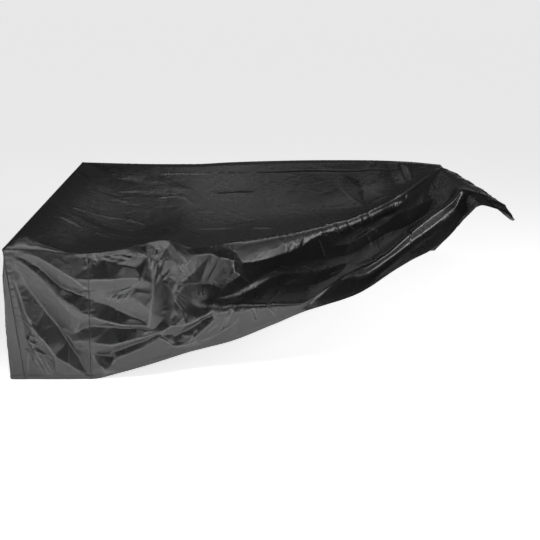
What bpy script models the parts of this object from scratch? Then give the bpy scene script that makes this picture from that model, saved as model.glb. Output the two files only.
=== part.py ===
"""A patio furniture cover, drawn back at one end: six cut panels of woven cloth sewn together.

Metres, +Z up. X runs along the cover from left to right, Y runs from its front to its back, and the floor
is Z = 0.
"""

import math

import bmesh
import bpy
import numpy as np

# ---------------------------------------------------------------- sizes
LENGTH = 2.80
DEPTH = 2.14
CLOTH = 0.002
SEAM_GAP = 0.0003
SQUARE_INSET = 0.0014
FLAT_INSET = 0.0004
REST_STRIP = 0.10

LEFT = -LENGTH / 2
RIGHT = LENGTH / 2
BACK = DEPTH / 2
# Puts the origin under the middle of the draped cover
MIDDLE = (0.001, 0.0175, 0.0002)

FRONT_COLUMNS = 64
FRONT_LEFT_COLUMNS = 14
FRONT_ROWS = 18
TOP_ROWS = 17
WALL_ROWS = 8
BACK_COLUMNS = 26
LEFT_COLUMNS = 24
CORNER_COLUMNS = 6

# Sections of the front panels, from the near left corner to the far right one. Each row holds where the top
# seam (seam_*), the middle crest (crest_*) and the hem (hem_*) run, then three fold sizes: lip is how far the
# cloth drops just below the seam, hollow how far it sinks between seam and crest, and step how far it drops
# below the crest.
FRONT_NAMES = (
    "seam_x", "seam_y", "seam_z", "crest_y", "crest_z", "hem_x", "hem_y", "hem_z", "lip", "hollow", "step",
)
FRONT = (
    (-1.388, -1.082, 0.730, -1.087, 0.370, -1.345, -1.092, 0.000, 0.000, 0.000, 0.000),
    (-1.238, -1.092, 0.730, -1.096, 0.360, -1.205, -1.097, 0.000, 0.000, 0.000, 0.000),
    (-1.061, -1.091, 0.710, -1.097, 0.350, -1.090, -1.099, 0.000, 0.000, 0.000, 0.000),
    (-0.963, -1.077, 0.705, -1.092, 0.350, -0.994, -1.099, 0.000, 0.000, 0.000, 0.000),
    (-0.806, -1.045, 0.715, -1.085, 0.370, -0.837, -1.099, 0.035, 0.000, 0.000, 0.000),
    (-0.717, -1.017, 0.730, -1.075, 0.390, -0.700, -1.098, 0.075, 0.000, 0.000, 0.000),
    (-0.580, -0.988, 0.750, -1.050, 0.400, -0.590, -1.085, 0.105, 0.010, 0.000, 0.000),
    (-0.453, -0.971, 0.700, -1.030, 0.380, -0.469, -1.050, 0.130, 0.020, 0.010, 0.000),
    (-0.262, -0.778, 0.660, -1.030, 0.378, -0.250, -1.030, 0.180, 0.040, 0.012, 0.010),
    (-0.016, -0.585, 0.640, -1.030, 0.385, -0.010, -1.030, 0.280, 0.050, 0.020, 0.010),
    (0.165, -0.489, 0.645, -1.010, 0.400, 0.145, -1.020, 0.345, 0.050, 0.022, 0.004),
    (0.363, -0.347, 0.650, -0.813, 0.480, 0.404, -0.969, 0.410, 0.046, 0.022, 0.012),
    (0.537, -0.246, 0.670, -0.777, 0.520, 0.523, -0.898, 0.440, 0.046, 0.024, 0.022),
    (0.691, -0.176, 0.720, -0.680, 0.575, 0.650, -0.851, 0.510, 0.048, 0.026, 0.024),
    (0.812, -0.137, 0.770, -0.560, 0.630, 0.763, -0.782, 0.550, 0.050, 0.028, 0.028),
    (0.953, 0.070, 0.790, -0.430, 0.690, 0.910, -0.660, 0.573, 0.046, 0.030, 0.030),
    (1.159, 0.406, 0.800, -0.267, 0.770, 1.104, -0.446, 0.630, 0.036, 0.026, 0.030),
    (1.225, 0.510, 0.796, -0.165, 0.812, 1.208, -0.340, 0.708, 0.020, 0.012, 0.012),
    (1.250, 0.556, 0.793, -0.195, 0.808, 1.284, -0.375, 0.764, 0.008, 0.004, 0.004),
    (1.275, 0.602, 0.790, -0.225, 0.800, 1.353, -0.429, 0.755, 0.000, 0.000, 0.000),
)
UPRIGHT_SEAM_ROW = 3

# Height of the back top edge along its length
EDGE_NAMES = ("x", "z")
EDGE = (
    (-1.40, 0.735), (-0.90, 0.722), (-0.55, 0.721), (-0.26, 0.735), (0.13, 0.747),
    (0.52, 0.752), (0.92, 0.748), (1.16, 0.737), (1.40, 0.714),
)

# The right side: how high its shoulder runs and how high its hem hangs, by depth
SIDE_NAMES = ("y", "shoulder_z", "hem_z")
SIDE = (
    (-0.600, 0.736, 0.715), (-0.530, 0.754, 0.711), (-0.438, 0.768, 0.711),
    (-0.276, 0.772, 0.712), (-0.046, 0.770, 0.690), (0.242, 0.760, 0.540),
    (0.545, 0.740, 0.345), (0.800, 0.715, 0.175), (1.070, 0.690, 0.000),
)

# How deep the top sags between its supports, by distance along the length
SAG_NAMES = ("x", "depth")
SAG = (
    (-1.388, 0.000), (-1.300, 0.008), (-1.000, 0.105), (-0.600, 0.150), (-0.100, 0.120),
    (0.400, 0.115), (0.800, 0.110), (1.100, 0.060), (1.275, 0.012),
)

# Pull folds that fan out from the near left corner: the angle of each crest or trough below level, and its rise
FAN_NAMES = ("angle", "rise")
FAN = ((0, 0.0), (10, 0.0), (24, 0.012), (33, -0.016), (44, 0.021), (65, -0.015), (76, 0.013), (90, 0.0))
FAN_CORNER = (0.04, 0.0)
FAN_FULL = 0.30
FAN_END = 0.78

# Main folds of the front, each a soft ridge (+) or trough (-) from a to b, in metres along the seam and down
# from it
FOLD_NAMES = ("along_a", "drop_a", "along_b", "drop_b", "rise", "half")
FRONT_FOLDS = (
    (0.47, 0.15, 0.66, 0.17, 0.016, 0.085),
    (0.47, 0.37, 0.70, 0.43, -0.014, 0.060),
    (0.46, 0.49, 0.82, 0.46, 0.018, 0.070),
    (0.48, 0.58, 0.58, 0.60, -0.012, 0.060),
    (0.73, 0.22, 0.71, 0.44, 0.020, 0.060),
    (0.80, 0.08, 0.78, 0.44, -0.030, 0.060),
    (0.88, 0.18, 0.84, 0.42, 0.016, 0.055),
    (0.82, 0.03, 0.93, 0.12, 0.020, 0.075),
    (0.96, 0.02, 1.18, 0.03, -0.026, 0.070),
    (1.00, 0.12, 1.06, 0.12, 0.020, 0.080),
    (1.17, 0.15, 1.22, 0.20, 0.018, 0.075),
    (0.95, 0.28, 1.20, 0.29, -0.024, 0.070),
    (0.86, 0.45, 1.12, 0.36, 0.016, 0.070),
    (1.32, 0.18, 1.62, 0.14, 0.012, 0.080),
    (1.32, 0.31, 1.60, 0.29, 0.012, 0.080),
)

# Main folds of the top, in metres from the middle of the cover
TOP_NAMES = ("x_a", "y_a", "x_b", "y_b", "rise", "half")
TOP_FOLDS = (
    (-1.270, -0.960, -1.215, -0.910, 0.030, 0.140),
    (-1.340, 1.000, -1.180, 0.450, 0.012, 0.110),
    (-1.300, 0.990, -0.980, 0.760, 0.012, 0.110),
    (0.700, 0.560, 0.690, 0.210, 0.014, 0.110),
    (1.030, 0.900, 1.020, 0.560, 0.012, 0.110),
)


# ---------------------------------------------------------------- curves
def columns(names, rows):
    """A table as one array for each named column."""
    return dict(zip(names, np.array(rows, float).T))


def through(knots, values, at):
    """Smooth curves through the values at their knots. Values may hold one column for each place in at."""
    knots = np.asarray(knots, float)
    at = np.clip(np.asarray(at, float), knots[0], knots[-1])
    values = np.asarray(values, float)
    if values.ndim == 1:
        values = np.repeat(values[:, None], len(at), axis=1)
    steps = np.diff(knots)[:, None]
    slopes = np.diff(values, axis=0) / steps
    middle = np.where(slopes[:-1] * slopes[1:] > 0, (slopes[:-1] + slopes[1:]) / 2, 0)
    tangents = np.concatenate([slopes[:1], middle, slopes[-1:]])
    cell = np.clip(np.searchsorted(knots, at, side="right") - 1, 0, len(steps) - 1)
    place = np.arange(len(at))
    width = steps[cell, 0]
    part = (at - knots[cell]) / width
    rise = part * part * (3 - 2 * part)
    level = values[cell, place] * (1 - rise) + values[cell + 1, place] * rise
    lead = part * (1 - part) ** 2 * tangents[cell, place]
    trail = part * part * (1 - part) * tangents[cell + 1, place]
    return level + width * (lead - trail)


def ease(low, high, value):
    """0 below low, 1 above high, and smooth between."""
    part = np.clip((value - low) / (high - low), 0, 1)
    return part * part * (3 - 2 * part)


def folds(rows, first, second):
    """The summed height of soft ridges and troughs, each along its own line."""
    total = np.zeros_like(first)
    for a1, a2, b1, b2, rise, half in rows:
        way = np.array([b1 - a1, b2 - a2])
        share = ((first - a1) * way[0] + (second - a2) * way[1]) / (way @ way)
        share = np.clip(share, 0, 1)
        gap = np.hypot(first - a1 - share * way[0], second - a2 - share * way[1])
        total += rise * (1 - ease(0, half, gap))
    return total


front = columns(FRONT_NAMES, FRONT)
edge = columns(EDGE_NAMES, EDGE)
side = columns(SIDE_NAMES, SIDE)
sag = columns(SAG_NAMES, SAG)
fan = columns(FAN_NAMES, FAN)

seam_points = np.stack([front["seam_x"], front["seam_y"], front["seam_z"]], axis=1)
seam_steps = np.linalg.norm(np.diff(seam_points, axis=0), axis=1)
seam_at = np.concatenate([[0], np.cumsum(seam_steps)])
SEAM_LENGTH = seam_at[-1]
UPRIGHT_SEAM = seam_at[UPRIGHT_SEAM_ROW]


def section(along):
    """Every column of the front table at a distance along the top seam."""
    return {name: through(seam_at, values, along) for name, values in front.items()}


# ---------------------------------------------------------------- surfaces
DOWN_KNOTS = (0.0, 0.07, 0.22, 0.40, 0.52, 0.58, 0.80, 1.0)
UP = np.array([0.0, 0.0, 1.0])


def front_base(along, down):
    """Points of the front panels without their single folds: metres along the seam, and seam (0) to hem (1)."""
    here = section(along)
    seam = np.stack([here["seam_x"], here["seam_y"], here["seam_z"]], axis=1)
    hem = np.stack([here["hem_x"], here["hem_y"], here["hem_z"]], axis=1)
    crest = np.stack([(seam[:, 0] + hem[:, 0]) / 2, here["crest_y"], here["crest_z"]], axis=1)
    lip, hollow, step = (here[name][:, None] for name in ("lip", "hollow", "step"))
    net = np.stack([
        seam,
        seam + (crest - seam) * (0.10 - lip) - UP * lip * 0.75,
        seam + (crest - seam) * 0.42 - UP * (hollow + lip * 0.5),
        seam + (crest - seam) * 0.78 - UP * (hollow * 0.9 + lip * 0.2),
        crest,
        crest + (hem - crest) * 0.14 - UP * step,
        crest + (hem - crest) * 0.60 - UP * step * 0.6,
        hem,
    ])
    return np.stack([through(DOWN_KNOTS, net[:, :, axis], down) for axis in range(3)], axis=1)


def unit(vectors):
    """The vectors at length 1."""
    return vectors / np.linalg.norm(vectors, axis=-1, keepdims=True)


def front_drop(along, down):
    """How far each point hangs below the top seam, measured along the cloth's fall."""
    here = section(along)
    seam = np.stack([here["seam_x"], here["seam_y"], here["seam_z"]], axis=1)
    middle = front_base(along, np.full_like(along, 0.52))
    hem = np.stack([here["hem_x"], here["hem_y"], here["hem_z"]], axis=1)
    upper = np.linalg.norm(middle - seam, axis=1)
    lower = np.linalg.norm(hem - middle, axis=1)
    return np.where(down < 0.52, upper * down / 0.52, upper + lower * (down - 0.52) / 0.48)


def front_folds(along, drop):
    """Height of the folds on the front: the fan from the near left corner, and the table of single folds."""
    reach = along - FAN_CORNER[0]
    angle = np.degrees(np.arctan2(drop - FAN_CORNER[1], np.maximum(reach, 1e-6)))
    distance = np.hypot(np.maximum(reach, 0), drop)
    strength = ease(0.02, FAN_FULL, distance) * (1 - ease(0.52, FAN_END, along))
    fanned = through(fan["angle"], fan["rise"], angle) * strength
    return fanned * ease(0.0, 0.05, reach) + folds(FRONT_FOLDS, along, drop)


def front_point(along, down):
    """Points of the front panels with their main folds, which die away at the seams."""
    base = front_base(along, down)
    step = 0.01
    across = front_base(along + step, down) - front_base(along - step, down)
    fall = front_base(along, np.minimum(down + step, 1)) - front_base(along, np.maximum(down - step, 0))
    outward = unit(np.cross(fall, across))
    hold = ease(0.0, 0.11, down) * (1 - ease(3.20, 3.38, along))
    drop = front_drop(along, down)
    floor_hold = 1 - 0.85 * ease(0.90, 1.0, down)
    return base + outward * (front_folds(along, drop) * hold * floor_hold)[:, None]


def top_point(along, back):
    """Points of the top panel: metres along the front seam, and from that seam (0) to the back edge (1)."""
    here = section(along)
    start = np.stack([here["seam_x"], here["seam_y"], here["seam_z"]], axis=1)
    first, last = front["seam_x"][0], front["seam_x"][-1]
    end_x = LEFT + (here["seam_x"] - first) / (last - first) * LENGTH
    end = np.stack([end_x, np.full_like(end_x, BACK), through(edge["x"], edge["z"], end_x)], axis=1)
    point = start + (end - start) * back[:, None]
    # The last strip lies flat, so the sag ends in front of it.
    run = np.maximum(end[:, 1] - start[:, 1], 0.2)
    part = np.clip(back / (1 - REST_STRIP / run), 0, 1)
    bowl = np.sin(math.pi * part**0.85)
    point[:, 2] -= through(sag["x"], sag["depth"], here["seam_x"]) * bowl
    hold = ease(0.0, 0.03, back) * (1 - ease(0.94, 1.0, back)) * ease(0.0, 0.05, along)
    point[:, 2] += folds(TOP_FOLDS, point[:, 0], point[:, 1]) * hold
    return point


def left_point(round_it, down):
    """A point of the left side, from its seam on the front, round the corner and back to the far corner."""
    first = np.array([front["seam_x"][0], front["seam_y"][0], 0])
    far = np.array([LEFT, BACK, 0])
    edge_way = (far - first) / (far[1] - first[1])
    # At the top edge the side starts square. Lower down it wraps round the corner on to the front face.
    square = 1 - ease(0.0, 0.25, down)
    near = first + np.array([0.043 * down, -0.010 * down, 0])
    turn = (first + edge_way * 0.010) * square + np.array([LEFT - 0.001, -1.096, 0]) * (1 - square)
    straight = (first + edge_way * 0.037) * square + np.array([LEFT - 0.001, -1.045, 0]) * (1 - square)
    share = CORNER_COLUMNS / (LEFT_COLUMNS - 1)
    if round_it < share:
        part = round_it / share
        pull = 2.5
        weights = np.array([(1 - part) ** 2, pull * 2 * part * (1 - part), part**2])
        point = (near * weights[0] + turn * weights[1] + straight * weights[2]) / weights.sum()
    else:
        part = (round_it - share) / (1 - share)
        point = straight + (far - straight) * part
        swell = math.sin(math.pi * part) ** 0.5 if 0 < part < 1 else 0.0
        point[0] -= 0.012 * down * swell * math.sin(5.3 * point[1] + 1.0)
    top_z = np.interp(point[1], (-1.082, BACK), (0.730, 0.735))
    point[2] = top_z * (1 - down)
    return point


def back_point(x, down):
    """A point of the back side, which hangs in soft upright waves."""
    top_z = through(edge["x"], edge["z"], np.array([x]))[0]
    ends = math.cos(math.pi * x / LENGTH) ** 0.5 if abs(x) < RIGHT - 1e-6 else 0.0
    wave = 0.014 * down * ends * math.sin(6.1 * x + 0.7)
    return np.array([x, BACK + 0.010 * down * ends + wave, top_z * (1 - down)])


# ---------------------------------------------------------------- solids
for old in list(bpy.data.objects):
    bpy.data.objects.remove(old)
collection = bpy.data.collections.new("patio_furniture_cover")
bpy.context.scene.collection.children.link(collection)
root = bpy.data.objects.new("cover", None)
collection.objects.link(root)
root.location = MIDDLE


def cloth_material(name, shade, roughness):
    """Black woven cloth with a slight sheen."""
    material = bpy.data.materials.new(name)
    material.use_nodes = True
    shader = material.node_tree.nodes["Principled BSDF"]
    shader.inputs["Base Color"].default_value = (shade, shade, shade, 1)
    shader.inputs["Roughness"].default_value = roughness
    shader.inputs["Metallic"].default_value = 0.0
    material.diffuse_color = (shade, shade, shade, 1)
    return material


SIDES = {
    "start": (np.s_[0, :], np.s_[1, :]),
    "end": (np.s_[-1, :], np.s_[-2, :]),
    "top": (np.s_[:, 0], np.s_[:, 1]),
    "bottom": (np.s_[:, -1], np.s_[:, -2]),
}


def inward(grid, side_name):
    """The way into a panel from each point of one side, square to that side."""
    outer, inner = SIDES[side_name]
    line = unit(np.gradient(grid[outer], axis=0))
    way = grid[inner] - grid[outer]
    return unit(way - (way * line).sum(axis=1, keepdims=True) * line)


def seam_inset(one, other):
    """How far each of two sewn panels stops short of their seam, to clear at the angle between them."""
    turn = np.clip((one * other).sum(axis=1), -1, 0.6)
    half = np.arccos(turn) / 2
    return (SEAM_GAP / 2 + CLOTH / 2 * np.cos(half)) / np.sin(half) + 0.0001


def corner_inset(down):
    """The near corner seam is square at the top and flat lower down."""
    return SQUARE_INSET + (FLAT_INSET - SQUARE_INSET) * ease(0.0, 0.25, down)


def add_sheet(name, grid, insets, shade, roughness):
    """One cut panel: an open surface through the grid of points, thickened by Solidify."""
    points = grid.copy()
    for side_name, inset in insets.items():
        points[SIDES[side_name][0]] += inward(grid, side_name) * np.reshape(inset, (-1, 1))
    mesh = bpy.data.meshes.new(name)
    shape = bmesh.new()
    rows = [[shape.verts.new(point) for point in column] for column in points]
    for i in range(len(rows) - 1):
        for j in range(len(rows[0]) - 1):
            shape.faces.new((rows[i][j], rows[i][j + 1], rows[i + 1][j + 1], rows[i + 1][j]))
    shape.to_mesh(mesh)
    shape.free()
    mesh.materials.append(cloth_material(name + "_cloth", shade, roughness))
    sheet = bpy.data.objects.new(name, mesh)
    sheet.parent = root
    collection.objects.link(sheet)
    solid = sheet.modifiers.new("thickness", "SOLIDIFY")
    solid.thickness = CLOTH
    solid.offset = 0.0
    return sheet


def grid_of(function, first, second):
    """The points of a surface function on a grid."""
    return np.array([function(np.full(len(second), u), second) for u in first])


along_left = np.linspace(0, UPRIGHT_SEAM, FRONT_LEFT_COLUMNS)
along_right = np.linspace(UPRIGHT_SEAM, SEAM_LENGTH, FRONT_COLUMNS - FRONT_LEFT_COLUMNS + 1)
along_all = np.concatenate([along_left, along_right[1:]])
down_front = np.linspace(0, 1, FRONT_ROWS)
down_wall = np.linspace(0, 1, WALL_ROWS)
back_share = np.linspace(0, 1, TOP_ROWS)

front_left_grid = grid_of(front_point, along_left, down_front)
front_grid = grid_of(front_point, along_right, down_front)
top_grid = grid_of(top_point, along_all, back_share)
left_grid = np.array([[left_point(u, v) for v in down_wall] for u in np.linspace(0, 1, LEFT_COLUMNS)])
back_grid = np.array([[back_point(x, v) for v in down_wall] for x in np.linspace(LEFT, RIGHT, BACK_COLUMNS)])

# The right side starts along the ends of the top and the front, and falls over its shoulder to its hem.
right_top = np.concatenate([top_grid[-1][::-1], front_grid[-1][1:]])
right_columns = []
for start in right_top:
    share = (BACK - start[1]) / (BACK - right_top[-1][1])
    depth = BACK + (SIDE[0][0] - BACK) * share
    shoulder_z = through(side["y"], side["shoulder_z"], [depth])[0]
    hem_z = through(side["y"], side["hem_z"], [depth])[0]
    shoulder = np.array([RIGHT + 0.003, depth, shoulder_z])
    hem = np.array([RIGHT + 0.010, depth + 0.05 * ease(0.3, 1.0, share), hem_z])
    over = [start, (start + shoulder) / 2 + np.array([0.003, 0, 0.004]) * share, shoulder]
    fall = [shoulder + (hem - shoulder) * part for part in np.linspace(0, 1, WALL_ROWS - 1)[1:]]
    right_columns.append(over + fall)
right_grid = np.array(right_columns)

# Where two panels meet, each stops short of the seam by what the angle between them needs.
top_way = inward(top_grid, "top")
front_way = np.concatenate([inward(front_left_grid, "top"), inward(front_grid, "top")[1:]])
front_inset = seam_inset(top_way, front_way)
upright_inset = seam_inset(inward(front_left_grid, "end"), inward(front_grid, "start"))
right_way = inward(right_grid, "top")
top_end_inset = seam_inset(inward(top_grid, "end"), right_way[:TOP_ROWS][::-1])
front_end_inset = seam_inset(inward(front_grid, "end"), right_way[TOP_ROWS - 1 :])
right_inset = np.concatenate([top_end_inset[::-1], front_end_inset[1:]])

# The order of each grid turns its faces outward.
add_sheet(
    "top_panel",
    top_grid[:, ::-1],
    {"bottom": front_inset, "top": SQUARE_INSET, "start": SQUARE_INSET, "end": top_end_inset[::-1]},
    0.018, 0.55,
)
add_sheet(
    "skirt_front_left",
    front_left_grid,
    {"top": front_inset[:FRONT_LEFT_COLUMNS], "start": corner_inset(down_front), "end": upright_inset},
    0.024, 0.50,
)
add_sheet(
    "skirt_front",
    front_grid,
    {"top": front_inset[FRONT_LEFT_COLUMNS - 1 :], "start": upright_inset, "end": front_end_inset},
    0.024, 0.50,
)
add_sheet(
    "skirt_left",
    left_grid[::-1],
    {"top": SQUARE_INSET, "start": SQUARE_INSET, "end": corner_inset(down_wall)},
    0.022, 0.52,
)
add_sheet(
    "skirt_back",
    back_grid[::-1],
    {"top": SQUARE_INSET, "start": SQUARE_INSET, "end": SQUARE_INSET},
    0.022, 0.52,
)
add_sheet(
    "skirt_right",
    right_grid[::-1],
    {"top": right_inset[::-1], "end": SQUARE_INSET},
    0.022, 0.52,
)
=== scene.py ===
# %% [markdown]
# # A patio furniture cover, drawn back at one end
#
# The real object is a big rectangular cover: six panels of black woven polyester, sewn together into a
# box that is open underneath. It has been pulled back at its right end, so the cloth hangs there in long
# slanting folds, while the near left corner still stands square on the floor.
#
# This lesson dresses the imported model, which serves as a fixed frame. Each CAD panel is replaced by a
# finer sheet that follows the same curves, with its creases, seams, hem and stitches.

import math

import bpy
import numpy as np
from mathutils import Matrix, Vector, geometry


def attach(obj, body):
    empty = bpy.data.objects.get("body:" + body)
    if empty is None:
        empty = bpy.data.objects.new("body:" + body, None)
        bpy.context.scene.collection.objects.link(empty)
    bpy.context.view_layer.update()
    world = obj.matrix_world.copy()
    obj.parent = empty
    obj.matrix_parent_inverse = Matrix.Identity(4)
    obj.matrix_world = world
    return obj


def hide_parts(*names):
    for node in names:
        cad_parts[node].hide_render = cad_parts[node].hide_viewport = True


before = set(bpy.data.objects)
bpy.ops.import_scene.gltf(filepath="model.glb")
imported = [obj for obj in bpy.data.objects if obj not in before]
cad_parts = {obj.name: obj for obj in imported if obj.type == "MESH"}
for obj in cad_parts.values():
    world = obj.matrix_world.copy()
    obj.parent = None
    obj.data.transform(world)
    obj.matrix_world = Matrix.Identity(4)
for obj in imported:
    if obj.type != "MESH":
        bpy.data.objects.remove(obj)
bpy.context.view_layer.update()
scene = bpy.context.scene

# %% [markdown]
# ## Main sizes
#
# Everything is in metres, except the tables of creases further on, which are in millimetres. X runs along
# the cover, Y from front to back, and the floor is at zero. The next tables hold the same rows as the CAD
# source, because the sheets must hang where the solids hang. The origin is under the middle of the draped
# cover, so a last small shift brings the tables there.

# %% Sizes
LENGTH = 2.80
DEPTH = 2.14
LEFT, RIGHT, BACK = -LENGTH / 2, LENGTH / 2, DEPTH / 2
MIDDLE = np.array((0.001, 0.0175, 0.0002))
CLOTH = 0.0014  # thickness
HEM_WIDTH = 0.026
GRID = 0.0095  # usual distance between the points of a sheet
FINE = 0.0070  # the same, across the folds of the front
REST_STRIP = 0.10  # how far the top rests level at the back before it sags

# %% [markdown]
# ## The folds as tables
#
# A maker would think of the drawn-back front as a row of cross-sections: where the top seam runs, where
# the cloth turns over its middle crest, and where the hem hangs. Between the rows the cloth runs
# smoothly.

# %% Sections of the front, from the near left corner to the far right one
FRONT_NAMES = (
    "seam_x", "seam_y", "seam_z", "crest_y", "crest_z", "hem_x", "hem_y", "hem_z", "lip", "hollow", "step",
)
FRONT = (
    (-1.388, -1.082, 0.730, -1.087, 0.370, -1.345, -1.092, 0.000, 0.000, 0.000, 0.000),
    (-1.238, -1.092, 0.730, -1.096, 0.360, -1.205, -1.097, 0.000, 0.000, 0.000, 0.000),
    (-1.061, -1.091, 0.710, -1.097, 0.350, -1.090, -1.099, 0.000, 0.000, 0.000, 0.000),
    (-0.963, -1.077, 0.705, -1.092, 0.350, -0.994, -1.099, 0.000, 0.000, 0.000, 0.000),
    (-0.806, -1.045, 0.715, -1.085, 0.370, -0.837, -1.099, 0.035, 0.000, 0.000, 0.000),
    (-0.717, -1.017, 0.730, -1.075, 0.390, -0.700, -1.098, 0.075, 0.000, 0.000, 0.000),
    (-0.580, -0.988, 0.750, -1.050, 0.400, -0.590, -1.085, 0.105, 0.010, 0.000, 0.000),
    (-0.453, -0.971, 0.700, -1.030, 0.380, -0.469, -1.050, 0.130, 0.020, 0.010, 0.000),
    (-0.262, -0.778, 0.660, -1.030, 0.378, -0.250, -1.030, 0.180, 0.040, 0.012, 0.010),
    (-0.016, -0.585, 0.640, -1.030, 0.385, -0.010, -1.030, 0.280, 0.050, 0.020, 0.010),
    (0.165, -0.489, 0.645, -1.010, 0.400, 0.145, -1.020, 0.345, 0.050, 0.022, 0.004),
    (0.363, -0.347, 0.650, -0.813, 0.480, 0.404, -0.969, 0.410, 0.046, 0.022, 0.012),
    (0.537, -0.246, 0.670, -0.777, 0.520, 0.523, -0.898, 0.440, 0.046, 0.024, 0.022),
    (0.691, -0.176, 0.720, -0.680, 0.575, 0.650, -0.851, 0.510, 0.048, 0.026, 0.024),
    (0.812, -0.137, 0.770, -0.560, 0.630, 0.763, -0.782, 0.550, 0.050, 0.028, 0.028),
    (0.953, 0.070, 0.790, -0.430, 0.690, 0.910, -0.660, 0.573, 0.046, 0.030, 0.030),
    (1.159, 0.406, 0.800, -0.267, 0.770, 1.104, -0.446, 0.630, 0.036, 0.026, 0.030),
    (1.225, 0.510, 0.796, -0.165, 0.812, 1.208, -0.340, 0.708, 0.020, 0.012, 0.012),
    (1.250, 0.556, 0.793, -0.195, 0.808, 1.284, -0.375, 0.764, 0.008, 0.004, 0.004),
    (1.275, 0.602, 0.790, -0.225, 0.800, 1.353, -0.429, 0.755, 0.000, 0.000, 0.000),
)
UPRIGHT_SEAM_ROW = 3

# %% Heights of the back edge and of the right side, and the sag of the top
EDGE_NAMES = ("x", "z")
EDGE = (
    (-1.40, 0.735), (-0.90, 0.722), (-0.55, 0.721), (-0.26, 0.735), (0.13, 0.747),
    (0.52, 0.752), (0.92, 0.748), (1.16, 0.737), (1.40, 0.714),
)
SIDE_NAMES = ("y", "shoulder_z", "hem_z")
SIDE = (
    (-0.600, 0.736, 0.715), (-0.530, 0.754, 0.711), (-0.438, 0.768, 0.711),
    (-0.276, 0.772, 0.712), (-0.046, 0.770, 0.690), (0.242, 0.760, 0.540),
    (0.545, 0.740, 0.345), (0.800, 0.715, 0.175), (1.070, 0.690, 0.000),
)
SAG_NAMES = ("x", "depth")
SAG = (
    (-1.388, 0.000), (-1.300, 0.008), (-1.000, 0.105), (-0.600, 0.150), (-0.100, 0.120),
    (0.400, 0.115), (0.800, 0.110), (1.100, 0.060), (1.275, 0.012),
)


# %% [markdown]
# ## Curves and fields
#
# NumPy works on whole arrays at once, so a sheet of thirty thousand points takes no longer to write than
# one point. `through` draws a smooth curve through the rows of a table, and `ease` is the soft step that
# every fade in this file uses.

# %% Curve helpers
def columns(names, rows):
    """A table as one array for each named column."""
    return dict(zip(names, np.array(rows, float).T))


def through(knots, values, at):
    """Smooth curves through the values at their knots. Values may hold one column for each place in at."""
    knots = np.asarray(knots, float)
    at = np.clip(np.asarray(at, float), knots[0], knots[-1])
    values = np.asarray(values, float)
    if values.ndim == 1:
        values = np.repeat(values[:, None], len(at), axis=1)
    steps = np.diff(knots)[:, None]
    slopes = np.diff(values, axis=0) / steps
    middle = np.where(slopes[:-1] * slopes[1:] > 0, (slopes[:-1] + slopes[1:]) / 2, 0)
    tangents = np.concatenate([slopes[:1], middle, slopes[-1:]])
    cell = np.clip(np.searchsorted(knots, at, side="right") - 1, 0, len(steps) - 1)
    place = np.arange(len(at))
    width = steps[cell, 0]
    part = (at - knots[cell]) / width
    rise = part * part * (3 - 2 * part)
    level = values[cell, place] * (1 - rise) + values[cell + 1, place] * rise
    lead = part * (1 - part) ** 2 * tangents[cell, place]
    trail = part * part * (1 - part) * tangents[cell + 1, place]
    return level + width * (lead - trail)


def ease(low, high, value):
    """0 below low, 1 above high, and smooth between."""
    part = np.clip((value - low) / (high - low), 0, 1)
    return part * part * (3 - 2 * part)


def unit(vectors):
    """The vectors at length 1."""
    return vectors / np.maximum(np.linalg.norm(vectors, axis=-1, keepdims=True), 1e-12)


def distances(points):
    """How far along a line of points each one lies."""
    return np.concatenate([[0], np.cumsum(np.linalg.norm(np.diff(points, axis=0), axis=1))])


front = columns(FRONT_NAMES, FRONT)
edge = columns(EDGE_NAMES, EDGE)
side = columns(SIDE_NAMES, SIDE)
sag = columns(SAG_NAMES, SAG)
seam_points = np.stack([front["seam_x"], front["seam_y"], front["seam_z"]], axis=1)
seam_at = distances(seam_points)
SEAM_LENGTH = seam_at[-1]
UPRIGHT_SEAM = seam_at[UPRIGHT_SEAM_ROW]
print(f"front seam {SEAM_LENGTH:.3f} m, upright seam at {UPRIGHT_SEAM:.3f} m")

# %% [markdown]
# ## Laying out the points of a sheet
#
# A sheet is a grid of points. Close to a seam or a hem the rows stand a few millimetres apart, so that
# the stitched edge has a real shape, and in the middle of the panel they stand about a centimetre apart.
# Each column is first drawn densely and then measured with a tape: `hang` puts its points at true
# distances along the cloth, which also gives the weave its coordinates.

# %% Rows at true distances
SEAM_ROWS = (0.0, 0.003, 0.006, 0.010, 0.016)
HEM_ROWS = (0.0, 0.004, 0.012, 0.020, 0.024, 0.027, 0.031, 0.038)


def spread(length, first, last, pitch=GRID, count=None):
    """Distances from 0 to each length: close rows at both ends, and even ones between."""
    length = np.atleast_1d(np.asarray(length, float))
    gap = pitch * 0.9
    count = count or max(2, int(round(length.max() / pitch)))
    share = np.linspace(0, 1, count)
    low = first[-1] + gap
    high = length[:, None] - last[-1] - gap
    middle = low + (high - low) * share[None, :]
    head = np.repeat(np.array(first)[None, :], len(length), axis=0)
    tail = length[:, None] - np.array(last[::-1])[None, :]
    return np.concatenate([head, middle, tail], axis=1)


def hang(dense, first, last, count=None, pitch=GRID):
    """The columns resampled at true distances, and how far each point lies from its column's start."""
    steps = np.linalg.norm(np.diff(dense, axis=1), axis=2)
    run = np.concatenate([np.zeros((len(dense), 1)), np.cumsum(steps, axis=1)], axis=1)
    wanted = spread(run[:, -1], first, last, pitch, count)
    points = np.empty(wanted.shape + (3,))
    for i in range(len(dense)):
        for axis in range(3):
            points[i, :, axis] = np.interp(wanted[i], run[i], dense[i, :, axis])
    return points, wanted


# %% Which way is out
COVER_MIDDLE = np.array([0.0, 0.2, 0.25])


def grid_normals(points):
    """Unit normals of a grid of points: each column's fall crossed with the way to its neighbour."""
    across = np.gradient(points, axis=0)
    fall = np.gradient(points, axis=1)
    return unit(np.cross(fall, across))


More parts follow.
